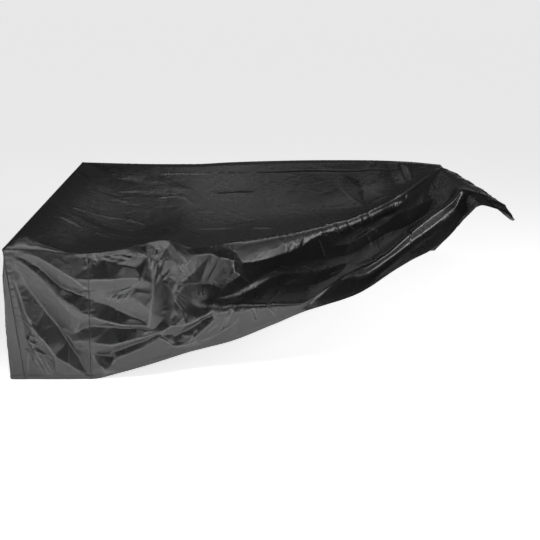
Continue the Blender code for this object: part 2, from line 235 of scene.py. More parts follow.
def facing_out(points):
    """Whether the grid's normals point away from the middle of the cover."""
    return (grid_normals(points) * (points - COVER_MIDDLE)).sum() > 0


def outward(points):
    """Unit normals of a grid of points, on the outside of the cover."""
    return grid_normals(points) * (1 if facing_out(points) else -1)


# %% [markdown]
# ## Creases
#
# Stiff woven cloth doesn't bend in waves. It breaks into flat facets that meet at narrow creases. So the
# main creases of the front are laid out as a net of lines: each point says how far along the seam
# it is, how far down the cloth, and how far it stands out. Whole millimetres are easy to read there.
# Blender's constrained Delaunay triangulation stretches flat facets between the lines, and a light blur
# rounds the creases as a cloth's thickness does.

# %% The crease net of the front: (along, drop, rise) in millimetres
FRONT_CREASES = {
    "upper fan ridge": (
        (70, 18, 0), (150, 30, 8), (220, 60, 14), (280, 90, 18), (350, 130, 22), (410, 180, 22),
        (430, 160, 16), (450, 140, 20), (550, 148, 26), (610, 150, 26), (680, 170, 24), (700, 145, 18),
        (730, 75, 12),
    ),
    "fan valley": (
        (75, 27, 0), (110, 55, -3), (160, 90, -7), (190, 120, -9), (230, 160, -12), (280, 195, -12),
        (360, 220, -10), (400, 232, -9), (440, 258, -8), (460, 262, -8), (530, 290, -12), (580, 330, -15),
        (640, 380, -15), (690, 415, -8),
    ),
    "main fan ridge": (
        (60, 40, 0), (100, 78, 6), (160, 128, 12), (220, 180, 17), (270, 228, 20), (340, 272, 20),
        (400, 322, 18), (440, 348, 13), (460, 352, 12), (530, 380, 15), (580, 400, 16), (640, 420, 14),
        (700, 442, 6),
    ),
    "fold in the fan": ((220, 205, 16), (290, 275, 21), (340, 320, 21), (385, 362, 17)),
    "lower fan valley": (
        (45, 60, 0), (70, 130, -8), (90, 210, -16), (130, 280, -22), (180, 365, -30), (240, 430, -34),
        (300, 500, -31), (350, 570, -24), (410, 680, -4),
    ),
    "corner ridge": (
        (30, 110, 2), (40, 190, 8), (60, 290, 16), (80, 370, 24), (100, 430, 30), (170, 520, 32),
        (210, 580, 28), (310, 615, 22), (400, 692, 4),
    ),
    "low corner valley": ((85, 495, 12), (120, 560, 4), (170, 630, 0), (195, 688, 0)),
    "low corner ridge": ((62, 500, 18), (100, 590, 20), (150, 665, 14), (165, 700, 6)),
    "corner strip": ((22, 200, -4), (34, 350, -8), (42, 500, -10), (50, 660, -6)),
    "valley under the top strip": (
        (470, 50, -6), (510, 48, -8), (550, 68, -10), (610, 95, -10), (665, 120, -6),
    ),
    "middle valley": ((460, 205, 0), (520, 212, -3), (580, 216, -3), (640, 212, 4)),
    "middle ridge": ((500, 250, -4), (580, 268, 2), (640, 262, 8), (700, 232, 18)),
    "waist valley": (
        (320, 478, -4), (350, 440, -6), (380, 418, -8), (440, 400, -8), (540, 412, -8), (660, 440, -9),
        (720, 468, -4),
    ),
    "waist ridge": (
        (335, 492, 4), (380, 480, 14), (435, 470, 20), (455, 490, 22), (550, 510, 26), (590, 505, 26),
        (660, 490, 24), (730, 488, 16), (810, 485, 20), (840, 470, 26), (940, 415, 36), (1050, 362, 38),
        (1130, 345, 34), (1200, 385, 28), (1250, 400, 24), (1300, 435, 18), (1380, 460, 15),
        (1440, 482, 14), (1580, 540, 12), (1700, 595, 8), (1760, 635, 2),
    ),
    "hem valley": ((470, 546, 8), (550, 556, 2), (630, 530, 6), (730, 512, 6), (780, 502, 8)),
    "point": (
        (440, 552, 12), (455, 585, 14), (490, 625, 24), (525, 660, 34), (545, 625, 20), (556, 600, 14),
    ),
    "pocket over the point": ((455, 560, -2), (480, 572, -10), (508, 578, -12), (540, 582, -8)),
    "hem ridge": ((556, 600, 14), (572, 590, 21), (640, 562, 24), (700, 538, 23), (790, 510, 16)),
    "upright ridge": (
        (730, 75, 12), (740, 140, 22), (750, 220, 28), (745, 290, 26), (730, 370, 20), (712, 445, 10),
    ),
    "upright valley": (
        (826, 30, -6), (800, 75, -18), (782, 120, -26), (800, 190, -30), (810, 230, -26), (820, 330, -20),
        (810, 430, -8), (755, 470, 2),
    ),
    "peak": (
        (840, 12, 2), (880, 40, 12), (920, 52, 28), (980, 37, 36), (1070, 34, 40), (1140, 75, 44),
        (1210, 100, 42), (1260, 120, 36), (1280, 185, 14),
    ),
    "peak side": ((920, 52, 28), (930, 100, 26), (955, 150, 10)),
    "ridge under the peak": (
        (850, 262, 0), (862, 285, 10), (868, 350, 20), (848, 440, 24), (840, 470, 26),
    ),
    "valley under the peak": (
        (870, 238, -14), (900, 228, -28), (970, 200, -38), (1060, 190, -40), (1130, 200, -36),
        (1200, 240, -32), (1250, 225, -18), (1330, 205, -4),
    ),
    "low valley": ((870, 510, 6), (960, 436, 14), (1050, 382, 18), (1120, 366, 24)),
    "low ridge": ((890, 555, 20), (980, 488, 36), (1070, 428, 40), (1140, 400, 36)),
    "lip roll": (
        (1310, 14, 3), (1370, 15, 6), (1570, 15, 7), (1780, 14, 7), (1960, 13, 6), (2310, 13, 6),
        (2730, 13, 6), (3100, 13, 3),
    ),
    "lip face": ((1320, 40, -3), (1400, 45, -5), (1570, 45, -6), (1720, 45, -5)),
    "lip valley": (
        (1300, 58, -8), (1370, 116, -36), (1470, 122, -44), (1570, 116, -44), (1700, 108, -34),
        (1800, 85, -20), (1880, 62, -10), (1960, 52, -6), (2070, 75, -11), (2190, 55, -7), (2310, 62, -11),
        (2530, 70, -16), (2730, 68, -15), (2990, 60, -12), (3200, 45, -6),
    ),
    "second step": (
        (1360, 180, -20), (1500, 184, -30), (1640, 194, -30), (1780, 215, -20), (1900, 260, -8),
    ),
    "slanting ridge": ((1220, 325, -10), (1280, 315, 2), (1400, 290, 6), (1560, 256, 4)),
    "under the slanting ridge": ((1280, 346, -4), (1400, 328, -8), (1560, 292, -6)),
    "long curved fold": ((1660, 300, 4), (1780, 350, 12), (1920, 380, 12), (2060, 400, 4)),
    "under the curved fold": ((1600, 370, -6), (1780, 430, -12), (1980, 480, -10)),
    "cross fold": ((2000, 190, 4), (2110, 240, 14), (2280, 222, 18), (2420, 180, 6)),
    "under the cross fold": ((2050, 300, -10), (2200, 292, -12), (2380, 270, -10)),
    "far fold": ((2480, 150, 6), (2600, 180, 14), (2830, 270, 14), (3000, 340, 6)),
    "under the far fold": (
        (2520, 300, -8), (2660, 340, -13), (2820, 410, -14), (3000, 490, -13), (3180, 560, -6),
    ),
    "crest": (
        (2000, 530, 3), (2100, 538, 5), (2200, 555, 6), (2320, 545, 7), (2400, 530, 8), (2500, 485, 10),
        (2600, 485, 12), (2800, 555, 13), (3000, 635, 10), (3200, 685, 8), (3300, 715, 5),
    ),
    "under the crest": (
        (2140, 592, -2), (2220, 602, -4), (2320, 592, -7), (2400, 580, -6), (2500, 538, -7),
        (2600, 542, -8), (2800, 620, -9), (3000, 700, -8), (3200, 755, -5), (3300, 785, -2),
    ),
}
NET_STEP = 0.12  # between the points that hold the net's border
CREASE_BLUR = 0.0032  # how far a crease is rounded

# %% [markdown]
# Shorter folds and fine wrinkles are single lines. A `tent` is a ridge with a sharp top that runs
# straight from one point to another and tapers off at its ends.

# %% Tables in millimetres
def metres(rows):
    """A table in millimetres, however deep its rows are nested, in metres."""
    return tuple(metres(row) if isinstance(row, tuple) else row / 1000 for row in rows)


# %% Tents
def tents(rows, first, second):
    """The summed height of ridges (+) and troughs (-), each (a1, a2, b1, b2, rise, half width)."""
    total = np.zeros_like(first)
    for a1, a2, b1, b2, rise, half in rows:
        reach = 0.5 * math.hypot(b1 - a1, b2 - a2) + half
        near = (abs(first - (a1 + b1) / 2) < reach) & (abs(second - (a2 + b2) / 2) < reach)
        if not near.any():
            continue
        x, y = first[near], second[near]
        way = np.array([b1 - a1, b2 - a2])
        share = ((x - a1) * way[0] + (y - a2) * way[1]) / (way @ way)
        inside = np.clip(share, 0, 1)
        gap = np.hypot(x - a1 - inside * way[0], y - a2 - inside * way[1])
        taper = 1 - (2 * inside - 1) ** 4
        slope = np.clip(1 - gap / half, 0, 1)
        # The square hollows the slopes a little, which keeps the top sharp.
        total[near] += rise * (0.65 * slope + 0.35 * slope * slope) * taper
    return total


# %% Random wrinkles
def wrinkles(seed, count, size, long, rise, half, lean=0.0, spread_out=math.pi):
    """Random rows for tents, on a panel of that size. Length, rise and half width are each a range."""
    draw = np.random.default_rng(seed)
    rows = []
    for _ in range(count):
        x, y = draw.uniform(0, size[0]), draw.uniform(0, size[1])
        turn = lean + draw.uniform(-0.5, 0.5) * spread_out
        reach = draw.uniform(*long) / 2
        high = draw.uniform(*rise) * draw.choice((-1, 1))
        width = draw.uniform(*half)
        dx, dy = math.cos(turn) * reach, math.sin(turn) * reach
        rows.append((x - dx, y - dy, x + dx, y + dy, high, width))
    return rows


# %% Facets between crease lines
TOUCH = 1e-4  # points nearer than this are one point of the net
EDGE_SLACK = 1e-6  # lets a facet own the points on its edges


def facet_field(creases, border, first, second):
    """Heights of flat facets stretched between crease lines in millimetres, with the border held at zero."""
    spots, heights, lines = [], [], []
    for line in creases.values():
        for i, (a, b, rise) in enumerate(metres(line)):
            lines += [(len(spots) - 1, len(spots))] if i else []
            spots.append(Vector((a, b)))
            heights.append(rise)
    for a, b in border:
        spots.append(Vector((a, b)))
        heights.append(0.0)
    corners, _, facets, origins = geometry.delaunay_2d_cdt(spots, lines, [], 0, TOUCH, True)[:4]
    known = [heights[o[0]] if o else None for o in origins]
    loose = [tuple(round(x, 3) for x in corners[i]) for i, k in enumerate(known) if k is None]
    if loose:
        print("crease lines cross at", loose)
    field = np.zeros_like(first)
    done = np.zeros(first.shape, bool)
    for facet in facets:
        (ax, ay), (bx, by), (cx, cy) = (corners[i] for i in facet)
        ha, hb, hc = (known[i] or 0.0 for i in facet)
        area = (bx - ax) * (cy - ay) - (cx - ax) * (by - ay)
        u = ((first - ax) * (cy - ay) - (second - ay) * (cx - ax)) / area
        v = ((second - ay) * (bx - ax) - (first - ax) * (by - ay)) / area
        inside = (u >= -EDGE_SLACK) & (v >= -EDGE_SLACK) & (u + v <= 1 + EDGE_SLACK) & ~done
        field[inside] = (ha + (hb - ha) * u + (hc - ha) * v)[inside]
        done |= inside
    return field


# %% A light blur
def blurred(field, pitch, radius):
    """The field smoothed by a bell of that radius, with its edges repeated."""
    reach = max(1, math.ceil(2.5 * radius / pitch))
    bell = np.exp(-0.5 * (np.arange(-reach, reach + 1) * pitch / radius) ** 2)
    bell /= bell.sum()
    for axis in (0, 1):
        pad = [(reach, reach) if a == axis else (0, 0) for a in (0, 1)]
        wide = np.pad(field, pad, mode="edge")
        field = sum(
            w * np.take(wide, range(i, i + field.shape[axis]), axis=axis) for i, w in enumerate(bell)
        )
    return field


# %% [markdown]
# ## The front
#
# The front surface is lofted: each section of the table becomes a curve of eight points from seam to hem.
# It dips behind the seam by the lip, hangs hollow above the crest, turns over it and steps down below it.
# The crease net is worked out once on an even chart of the cloth, and each point of the sheet reads its
# height there.

# %% The front surface without creases
DOWN_KNOTS = (0.0, 0.07, 0.22, 0.40, 0.52, 0.58, 0.80, 1.0)
UP = np.array([0.0, 0.0, 1.0])
DENSE = 161  # points of a column before it is measured


def section(along):
    """Every column of the front table at a distance along the top seam."""
    return {name: through(seam_at, values, along) for name, values in front.items()}


def front_base(along):
    """Dense columns of the front, from seam to hem, for each distance along the seam."""
    here = section(along)
    seam = np.stack([here["seam_x"], here["seam_y"], here["seam_z"]], axis=1)
    hem = np.stack([here["hem_x"], here["hem_y"], here["hem_z"]], axis=1)
    crest = np.stack([(seam[:, 0] + hem[:, 0]) / 2, here["crest_y"], here["crest_z"]], axis=1)
    lip, hollow, step = (here[name][:, None] for name in ("lip", "hollow", "step"))
    net = np.stack([
        seam,
        seam + (crest - seam) * (0.10 - lip) - UP * lip * 0.75,
        seam + (crest - seam) * 0.42 - UP * (hollow + lip * 0.5),
        seam + (crest - seam) * 0.78 - UP * (hollow * 0.9 + lip * 0.2),
        crest,
        crest + (hem - crest) * 0.14 - UP * step,
        crest + (hem - crest) * 0.60 - UP * step * 0.6,
        hem,
    ])
    down = np.linspace(0, 1, DENSE)
    return np.array([
        np.stack([through(DOWN_KNOTS, net[:, i, axis], down) for axis in range(3)], axis=1)
        for i in range(len(along))
    ])


# %% The crease chart of the front
CHART = 0.004
LONGEST_DROP = 1.10
END_DROP = 0.6
chart_along = np.arange(0, SEAM_LENGTH + CHART, CHART)
chart_drop = np.arange(0, LONGEST_DROP, CHART)
coarse_along = np.linspace(0, SEAM_LENGTH, 60)
coarse_base = front_base(coarse_along)
coarse_drop = np.linalg.norm(np.diff(coarse_base, axis=1), axis=2).sum(axis=1)
net_places = np.linspace(0, SEAM_LENGTH, 1 + int(SEAM_LENGTH / NET_STEP))
net_hems = np.interp(net_places, coarse_along, coarse_drop)
border = [(a, 0.0) for a in net_places] + list(zip(net_places, net_hems))
border += [(x, y) for x in (0.0, SEAM_LENGTH) for y in np.arange(NET_STEP, END_DROP, NET_STEP)]

# %% Short folds over the net, in millimetres: (along, drop, along, drop, rise, half width)
FRONT_TENTS = metres((
    (45, 300, 95, 385, 5, 12), (28, 375, 100, 432, 6, 13), (28, 435, 120, 498, 6, 13),
    (35, 485, 148, 562, 7, 14), (80, 548, 182, 610, 8, 14), (100, 585, 142, 700, 9, 14),
    (66, 590, 110, 690, 8, 13), (35, 345, 95, 410, -4, 11), (30, 408, 110, 468, -4, 11),
    (32, 462, 135, 530, -5, 12), (60, 520, 160, 585, -6, 12), (85, 585, 125, 695, -8, 12),
    (115, 600, 158, 690, -6, 12), (50, 540, 20, 700, 6, 12), (580, 228, 650, 212, 5, 12),
    (650, 212, 690, 180, 5, 12), (690, 180, 720, 100, 5, 12), (595, 232, 560, 285, -4, 10),
    (625, 232, 590, 285, -4, 10), (655, 232, 620, 280, -4, 10), (560, 232, 535, 270, -3, 10),
    (360, 530, 410, 512, -4, 12), (878, 262, 940, 275, 3.5, 10), (880, 275, 945, 305, 3.5, 10),
    (878, 292, 935, 332, 3.5, 10), (900, 335, 935, 425, 5, 11), (870, 310, 905, 350, 3, 10),
    (860, 205, 830, 245, -5, 10), (875, 190, 850, 235, -5, 10), (885, 110, 935, 160, 4, 12),
    (1160, 475, 1200, 445, -5, 12), (1200, 445, 1260, 395, -5, 12), (800, 35, 775, 100, 6, 14),
    (845, 30, 800, 105, -7, 12), (920, 12, 950, 40, 5, 10), (1600, 190, 1670, 250, 7, 14),
    (1770, 270, 1840, 370, 6, 14), (1160, 305, 1340, 335, -5, 10), (1180, 345, 1360, 372, -5, 10),
    (2250, 225, 2290, 340, 6, 16), (2020, 160, 2100, 130, -5, 14), (440, 10, 425, 60, -5, 10),
    (455, 10, 475, 55, 4, 10), (780, 520, 860, 570, 7, 12), (820, 590, 1030, 490, 7, 14),
    (910, 490, 990, 462, 6, 12), (960, 540, 1010, 440, -8, 12), (1030, 500, 1320, 490, 6, 14),
    (1080, 460, 1190, 430, 6, 12), (1190, 480, 1260, 400, -8, 12), (1260, 540, 1300, 470, -6, 12),
    (1400, 465, 1430, 545, -7, 12), (1500, 500, 1560, 590, 5, 12), (815, 55, 750, 220, 7, 11),
    (790, 40, 725, 150, -6, 10), (835, 105, 780, 235, 6, 10), (750, 110, 730, 190, -6, 10),
    (1785, 12, 1755, 90, -9, 14), (1930, 10, 1960, 80, 8, 14), (2020, 8, 2090, 100, -9, 16),
    (2120, 10, 2170, 100, 8, 14), (2220, 8, 2250, 70, -8, 13), (2280, 10, 2320, 80, 8, 14),
    (2660, 12, 2620, 120, -10, 18), (1900, 90, 1920, 250, 6, 16), (2140, 200, 2280, 180, 7, 16),
    (2310, 170, 2330, 240, 7, 12), (2510, 380, 2560, 530, -11, 20), (2230, 480, 2260, 570, -6, 16),
))


# %% Bunches of fine wrinkles
def patch(seed, count, low, high, long, rise, half, lean, spread_out):
    """Random short wrinkles inside a rectangle of the cloth, whose row is in millimetres."""
    low, high, long, rise, half = metres((low, high, long, rise, half))
    size = (high[0] - low[0], high[1] - low[1])
    rows = wrinkles(seed, count, size, long, rise, half, lean, spread_out)
    return [(a + low[0], b + low[1], c + low[0], d + low[1], h, w) for a, b, c, d, h, w in rows]


# (seed, how many, low corner, high corner, length, rise, half width, lean, spread)
FRONT_PATCHES = (
    (101, 50, (20, 260), (120, 680), (30, 70), (0.8, 2), (6, 10), 0.7, 0.9),
    (102, 20, (80, 480), (180, 660), (40, 90), (1.2, 2.6), (7, 11), 1, 0.6),
    (103, 26, (460, 10), (740, 75), (30, 90), (2, 4.5), (7, 12), 0.4, 1),
    (104, 20, (810, 150), (930, 250), (30, 70), (2.5, 6), (7, 11), 2.2, 0.8),
    (105, 14, (410, 0), (480, 70), (20, 50), (1.5, 3.5), (5, 8), 1.6, 1.8),
    (106, 30, (1550, 10), (1980, 90), (20, 50), (1.5, 4), (5, 10), 1.3, 1.6),
    (107, 12, (2450, 10), (2800, 60), (20, 50), (1.5, 3.5), (5, 9), 1.3, 1.2),
    (108, 14, (2680, 440), (2900, 600), (20, 60), (1.5, 4), (6, 10), 1.2, 1),
    (109, 34, (950, 10), (1300, 260), (40, 100), (1.5, 5), (7, 14), 1.3, 1.2),
    (110, 34, (800, 360), (1600, 560), (40, 120), (1.5, 4.5), (7, 14), -0.7, 0.9),
)


# %% The whole front's heights, and where highlights are painted along its ridges
FULL_BEND = 75.0  # a bend, in 1/m, that counts as quite sharp
BEND_LEFT_OUT = 0.15  # share of it below which nothing counts


def crease_highlight_mask(chart, pitch):
    """Painted highlight mask: 1 on the tops of sharp ridges, 0 elsewhere, from how sharply the chart bends.
    """
    drops = (2 * chart - np.roll(chart, 1, axis) - np.roll(chart, -1, axis) for axis in (0, 1))
    return np.clip(sum(drops) / pitch**2 / FULL_BEND - BEND_LEFT_OUT, 0, 1)


def chart_heights():
    """Heights of the front's creases on an even chart of the cloth, and where highlights are painted."""
    first, second = np.meshgrid(chart_along, chart_drop, indexing="ij")
    field = facet_field(FRONT_CREASES, border, first, second)
    field = blurred(field, CHART, CREASE_BLUR)
    field += tents(FRONT_TENTS, first, second)
    # The painted highlights follow the net's sharp ridges and the short folds, not the bunches or fine
    # wrinkles.
    tops = crease_highlight_mask(field, CHART)
    for bunch in FRONT_PATCHES:
        field += tents(patch(*bunch), first, second)
    fine = wrinkles(11, 460, (SEAM_LENGTH, 0.95), (0.03, 0.13), (0.0005, 0.0020), (0.007, 0.016))
    return field + tents(fine, first, second), tops


def read_chart(chart, along, drop):
    """The chart's value at each point, between its four nearest places."""
    x = np.clip(along / CHART, 0, len(chart_along) - 1.001)
    y = np.clip(drop / CHART, 0, len(chart_drop) - 1.001)
    i, j = x.astype(int), y.astype(int)
    u, v = x - i, y - j
    near = chart[i, j] * (1 - v) + chart[i, j + 1] * v
    far = chart[i + 1, j] * (1 - v) + chart[i + 1, j + 1] * v
    return near * (1 - u) + far * u


front_chart, front_crease_highlights = chart_heights()
print(f"front creases from {front_chart.min() * 1000:.0f} to {front_chart.max() * 1000:.0f} mm")


# %% [markdown]
# ## Seams and hems
#
# Two panels are sewn right sides together and turned, so on the outside a seam is a narrow groove between
# two soft rolls, gathered into little puckers by the thread. A hem is turned up inside and stitched: the
# stitch row pulls a shallow line, and below it the doubled cloth stands a little proud.

# %% Relief and wear near an edge
SEAM_ROLL = 0.0016
SEAM_ROLL_WIDTH = 0.014
PUCKER = 0.0016
PUCKER_REACH = 0.045
HEM_STEP = 0.0007
HEM_LINE = 0.0011


def seam_relief(distance, along, seed):
    """Height of the rolled and puckered cloth beside a seam, by distance from it and along it."""
    draw = np.random.default_rng(seed)
    roll = SEAM_ROLL * np.sin(np.clip(distance / SEAM_ROLL_WIDTH, 0, 1) * math.pi)
    waves = sum(
        draw.uniform(0.4, 1.0) * np.sin(along * draw.uniform(90, 330) + draw.uniform(0, 7)) for _ in range(7)
    )
    strength = sum(np.sin(along * draw.uniform(4, 14) + draw.uniform(0, 7)) for _ in range(3)) / 3
    fade = ease(0.0, 0.006, distance) * (1 - ease(0.012, PUCKER_REACH, distance))
    return roll + PUCKER * waves / 2.2 * fade * (0.55 + 0.45 * strength)


def hem_relief(distance, along, seed):
    """Height of the turned hem, by distance from the cloth's edge and along it."""
    draw = np.random.default_rng(seed)
    band = HEM_STEP * (1 - ease(HEM_WIDTH - 0.004, HEM_WIDTH, distance))
    line = -HEM_LINE * np.exp(-(((distance - HEM_WIDTH) / 0.0030) ** 2))
    ripple = sum(np.sin(along * draw.uniform(60, 220) + draw.uniform(0, 7)) for _ in range(5)) / 5
    near = np.exp(-(((distance - HEM_WIDTH) / 0.020) ** 2))
    return band + line + HEM_LINE * ripple * near


def seam_wear_and_highlight(to_seam, to_hem=math.inf):
    """Paler colour, partly wear and partly a painted highlight: most at a seam or a hem, fading over a few
    centimetres.
    """
    return np.exp(-to_seam / 0.02) + np.exp(-to_hem / 0.03)


# %% [markdown]
# ## From points to a sheet
#
# A sheet is one grid mesh with a UV map in metres along and down the cloth, so the weave follows it round
# every fold. Solidify gives it thickness on the inside. Two attributes guide the material. The first is
# high near the seams and along the hem, where the colour is paler, partly from wear and partly as a
# painted highlight. The second, `ridge`, is high along the tops of sharp creases, where a highlight is
# painted.

# %% Sheet helpers
SHEETS = {}


def put(name, data):
    """A new object around its data, in the scene."""
    made = bpy.data.objects.new(name, data)
    scene.collection.objects.link(made)
    return made


def make_sheet(name, points, chart, wear_and_edge_highlight, ridges):
    """One panel of cloth through a grid of points in table coordinates."""
    wide, tall = points.shape[:2]
    index = np.arange(wide * tall).reshape(wide, tall)
    a, b, c, d = index[:-1, :-1], index[:-1, 1:], index[1:, 1:], index[1:, :-1]
    quads = np.stack([a, b, c, d] if facing_out(points) else [a, d, c, b], axis=-1).reshape(-1, 4)
    mesh = bpy.data.meshes.new(name)
    mesh.from_pydata((points + MIDDLE).reshape(-1, 3).tolist(), [], quads.tolist())
    uv = mesh.uv_layers.new(name="cloth")
    corner = np.empty(len(mesh.loops), np.int32)
    mesh.loops.foreach_get("vertex_index", corner)
    uv.data.foreach_set("uv", chart.reshape(-1, 2)[corner].astype(np.float32).ravel())
    for label, values in (("wear_and_edge_highlight", wear_and_edge_highlight), ("ridge", ridges)):
        attribute = mesh.attributes.new(label, "FLOAT", "POINT")
        attribute.data.foreach_set("value", values.astype(np.float32).ravel())
    mesh.shade_smooth()
    sheet = put(name, mesh)
    thick = sheet.modifiers.new("thickness", "SOLIDIFY")
    thick.thickness = CLOTH
    thick.offset = -1.0
    SHEETS[name] = sheet
    print(f"{name}: {wide} x {tall} points")


def flat_area(points):
    """Area of a grid of points."""
    a, b, c, d = points[:-1, :-1], points[:-1, 1:], points[1:, 1:], points[1:, :-1]
    first = np.linalg.norm(np.cross(b - a, c - a), axis=2)
    second = np.linalg.norm(np.cross(c - a, d - a), axis=2)
    return float((first + second).sum() / 2)


# %% [markdown]
# ## The two front panels
#
# The front is cut in two pieces, joined by an upright seam a little way in from the near left corner.
# Both follow the same surface, and both die away to nothing at their seams, so that the edges meet.

# %% Front panels
FRONT_ROWS = 100
front_left_along = spread(UPRIGHT_SEAM, SEAM_ROWS, SEAM_ROWS, FINE)[0]
front_right_length = SEAM_LENGTH - UPRIGHT_SEAM
front_right_along = UPRIGHT_SEAM + spread(front_right_length, SEAM_ROWS, SEAM_ROWS, FINE)[0]
front_along = np.concatenate([front_left_along, front_right_along[1:]])


def front_surface():
    """Points, cloth coordinates, paler edges from wear and painted highlight, and painted crease highlights
    of the whole front, which the upright seam then divides.
    """
    base, drop = hang(front_base(front_along), SEAM_ROWS, HEM_ROWS, count=FRONT_ROWS)
    place = np.repeat(front_along[:, None], base.shape[1], axis=1)
    to_hem = drop[:, -1:] - drop
    to_seam = np.minimum(place, abs(place - UPRIGHT_SEAM))
    # The creases die away at the top's seam, at the near corner and towards the far one.
    hold = ease(0, 0.016, drop) * ease(0, 0.03, place) * (1 - ease(3.20, 3.38, place))
    # The hem stands on the floor at the left, and hangs free where it has been drawn up.
    hold *= 1 - (0.75 - 0.35 * ease(0.5, 1.0, place)) * (1 - ease(0.0, 0.06, to_hem))
    height = read_chart(front_chart, place, drop) * hold
    height += seam_relief(drop, place, 21) + seam_relief(to_seam, drop, 22)
    height += hem_relief(to_hem, place, 23)
    points = base + outward(base) * height[..., None]
    points[..., 2] = np.maximum(points[..., 2], 0.0)
    # Paler near the seams and the hem, partly wear and partly a painted highlight; the chart's ridge tops
    # carry the painted crease highlight.
    wear_and_edge_highlight = seam_wear_and_highlight(np.minimum(drop, to_seam), to_hem)
    return points, np.stack([place, drop], axis=-1), wear_and_edge_highlight, read_chart(front_crease_highlights, place, drop) * hold


seam_column = len(front_left_along) - 1
whole = front_surface()
front_left_points, *front_left_rest = (grid[: seam_column + 1] for grid in whole)
front_points, *front_rest = (grid[seam_column:] for grid in whole)
make_sheet("front_left_cloth", front_left_points, *front_left_rest)
make_sheet("front_cloth", front_points, *front_rest)

# %% [markdown]
# ## The top panel
#
# The top is held up along its edges and hangs free in the middle, so it sags. Straight tight creases run
# across it from its corners, and the cloth keeps the faint square lines along which it was once folded to
# be packed.

# %% The creases of the top: (x, y, rise) in millimetres
TOP_NET = {
    "left fan ridge": (
        (-1360, 1020, 0), (-1320, 790, 12), (-1280, 630, 16), (-1240, 450, 12), (-1170, 300, 0),
    ),
    "fan valley": ((-1350, 1030, 0), (-1220, 860, -10), (-1100, 700, -14), (-1040, 460, -6)),
    "back fan ridge": (
        (-1340, 1040, 0), (-1150, 900, 12), (-1040, 850, 15), (-970, 760, 12), (-900, 660, 0),
    ),
    "back fold": ((-860, 800, 6), (-750, 710, 12), (-640, 590, 10), (-550, 450, 0)),
    "beside the back fold": ((-760, 800, -4), (-640, 680, -8), (-520, 560, -6)),
    "far ridge": ((1170, 970, 0), (1060, 900, 16), (1050, 660, 15), (1030, 520, 4)),
    "beside the far ridge": ((950, 950, 0), (950, 640, -12), (950, 420, 0)),
    "second far ridge": ((830, 1000, 4), (760, 620, 14), (820, 340, 12), (880, 200, 0)),
    "far trough": ((700, 620, -10), (690, 220, -10)),
    "third far ridge": ((600, 800, 4), (550, 600, 14), (610, 380, 14), (660, 180, 2)),
    "middle hollow": ((-400, 360, -6), (50, 320, -8), (360, 300, -4)),
    "left hollow": ((-1100, -200, -10), (-860, -300, -12), (-620, -420, -8)),
    "left rise": ((-1240, -280, 4), (-1020, -360, 6), (-820, -480, 8), (-660, -620, 6)),
}
# Sharp straight creases, in millimetres: (x, y, x, y, rise, half width)
TOP_CREASES = metres((
    (-1280, -405, -1100, -470, 6.3, 15), (-1250, -380, -1140, -440, 5.6, 15),
    (-1050, -450, -880, -555, 5.6, 15), (-1000, -420, -800, -500, 4.4, 15),
    (-1250, -160, -920, -30, 4.4, 15), (-930, -20, -790, -120, 6.3, 15), (-720, -180, -560, -310, 8.1, 15),
    (-480, -170, -220, -120, 5.6, 15), (-120, -130, 30, -170, 8.1, 15), (-400, 515, -250, 530, 8, 20),
    (-270, 535, -80, 550, 8, 20), (-770, 395, -630, 430, 5.5, 15), (-1050, 430, -900, 510, 5, 15),
    (-820, 790, -640, 590, -7.5, 20), (-1180, 960, -980, 770, -7.5, 15),
    (-1350, 700, -1170, 330, -7.5, 20), (-620, 460, -500, 280, 5.6, 20), (-700, 520, -560, 360, 5, 20),
    (800, 1030, 850, 910, 6.3, 20), (1050, 960, 1040, 550, -8.8, 20), (1090, 930, 1070, 600, 7.5, 20),
    (540, 600, 670, 220, 6.3, 20), (720, 600, 820, 350, 6.9, 20), (710, 570, 690, 240, -7.5, 20),
    (840, 630, 1000, 670, 5, 15), (1140, 830, 1270, 920, 6.3, 15), (-800, 845, -100, 850, 7.5, 15),
    (-120, 850, 450, 862, 6.3, 15), (430, 862, 1020, 850, 5.6, 15),
))
# The tuck at the near left corner, in millimetres: (along the front seam, in from it, rise)
TUCK = {
    "tuck ridge": (
        (10, 100, 4), (28, 45, 18), (50, 7, 36), (95, 6, 60), (125, 6, 70), (147, 6, 34), (158, 6, 48),
        (185, 6, 37), (230, 6, 27), (285, 6, 16), (345, 6, 3),
    ),
    "behind the tuck": ((50, 260, 0), (140, 170, -4), (260, 110, -2), (360, 70, 0)),
}


# %% The top surface without creases
def top_base(along):
    """Dense columns of the top, from the front seam to the back edge, with its sag but no creases."""
    here = section(along)
    back = np.linspace(0, 1, DENSE)[None, :]
    start = np.stack([here["seam_x"], here["seam_y"], here["seam_z"]], axis=1)
    first, last = front["seam_x"][0], front["seam_x"][-1]
    end_x = LEFT + (here["seam_x"] - first) / (last - first) * LENGTH
    end = np.stack([end_x, np.full_like(end_x, BACK), through(edge["x"], edge["z"], end_x)], axis=1)
    point = start[:, None, :] + (end - start)[:, None, :] * back[..., None]
    run = np.maximum(end[:, 1] - start[:, 1], 0.2)[:, None]
    part = np.clip(back / (1 - REST_STRIP / run), 0, 1)
    depth = through(sag["x"], sag["depth"], here["seam_x"])[:, None]
    # The power puts the deepest point a little nearer the front.
    point[..., 2] -= depth * np.sin(math.pi * part**0.85)
    return point


# %% Packing lines
PACKED_X = (-1.05, -0.70, -0.35, 0.0, 0.35, 0.70, 1.05)
PACKED_Y = (-0.80, -0.25, 0.30, 0.84)
PACKED_WIDTH = 0.007


def packing_lines(x, y):
    """Faint straight creases on a square pitch, turn about ridge and trough."""
    total = np.zeros_like(x)
    for across, along, lines, rise in ((x, y, PACKED_X, 0.0022), (y, x, PACKED_Y, 0.0024)):
        for i, line in enumerate(lines):
            fade = 0.6 + 0.4 * np.sin(3 * along + line)
            total += (-1) ** i * rise * np.exp(-np.abs(across - line) / PACKED_WIDTH) * fade
    return total


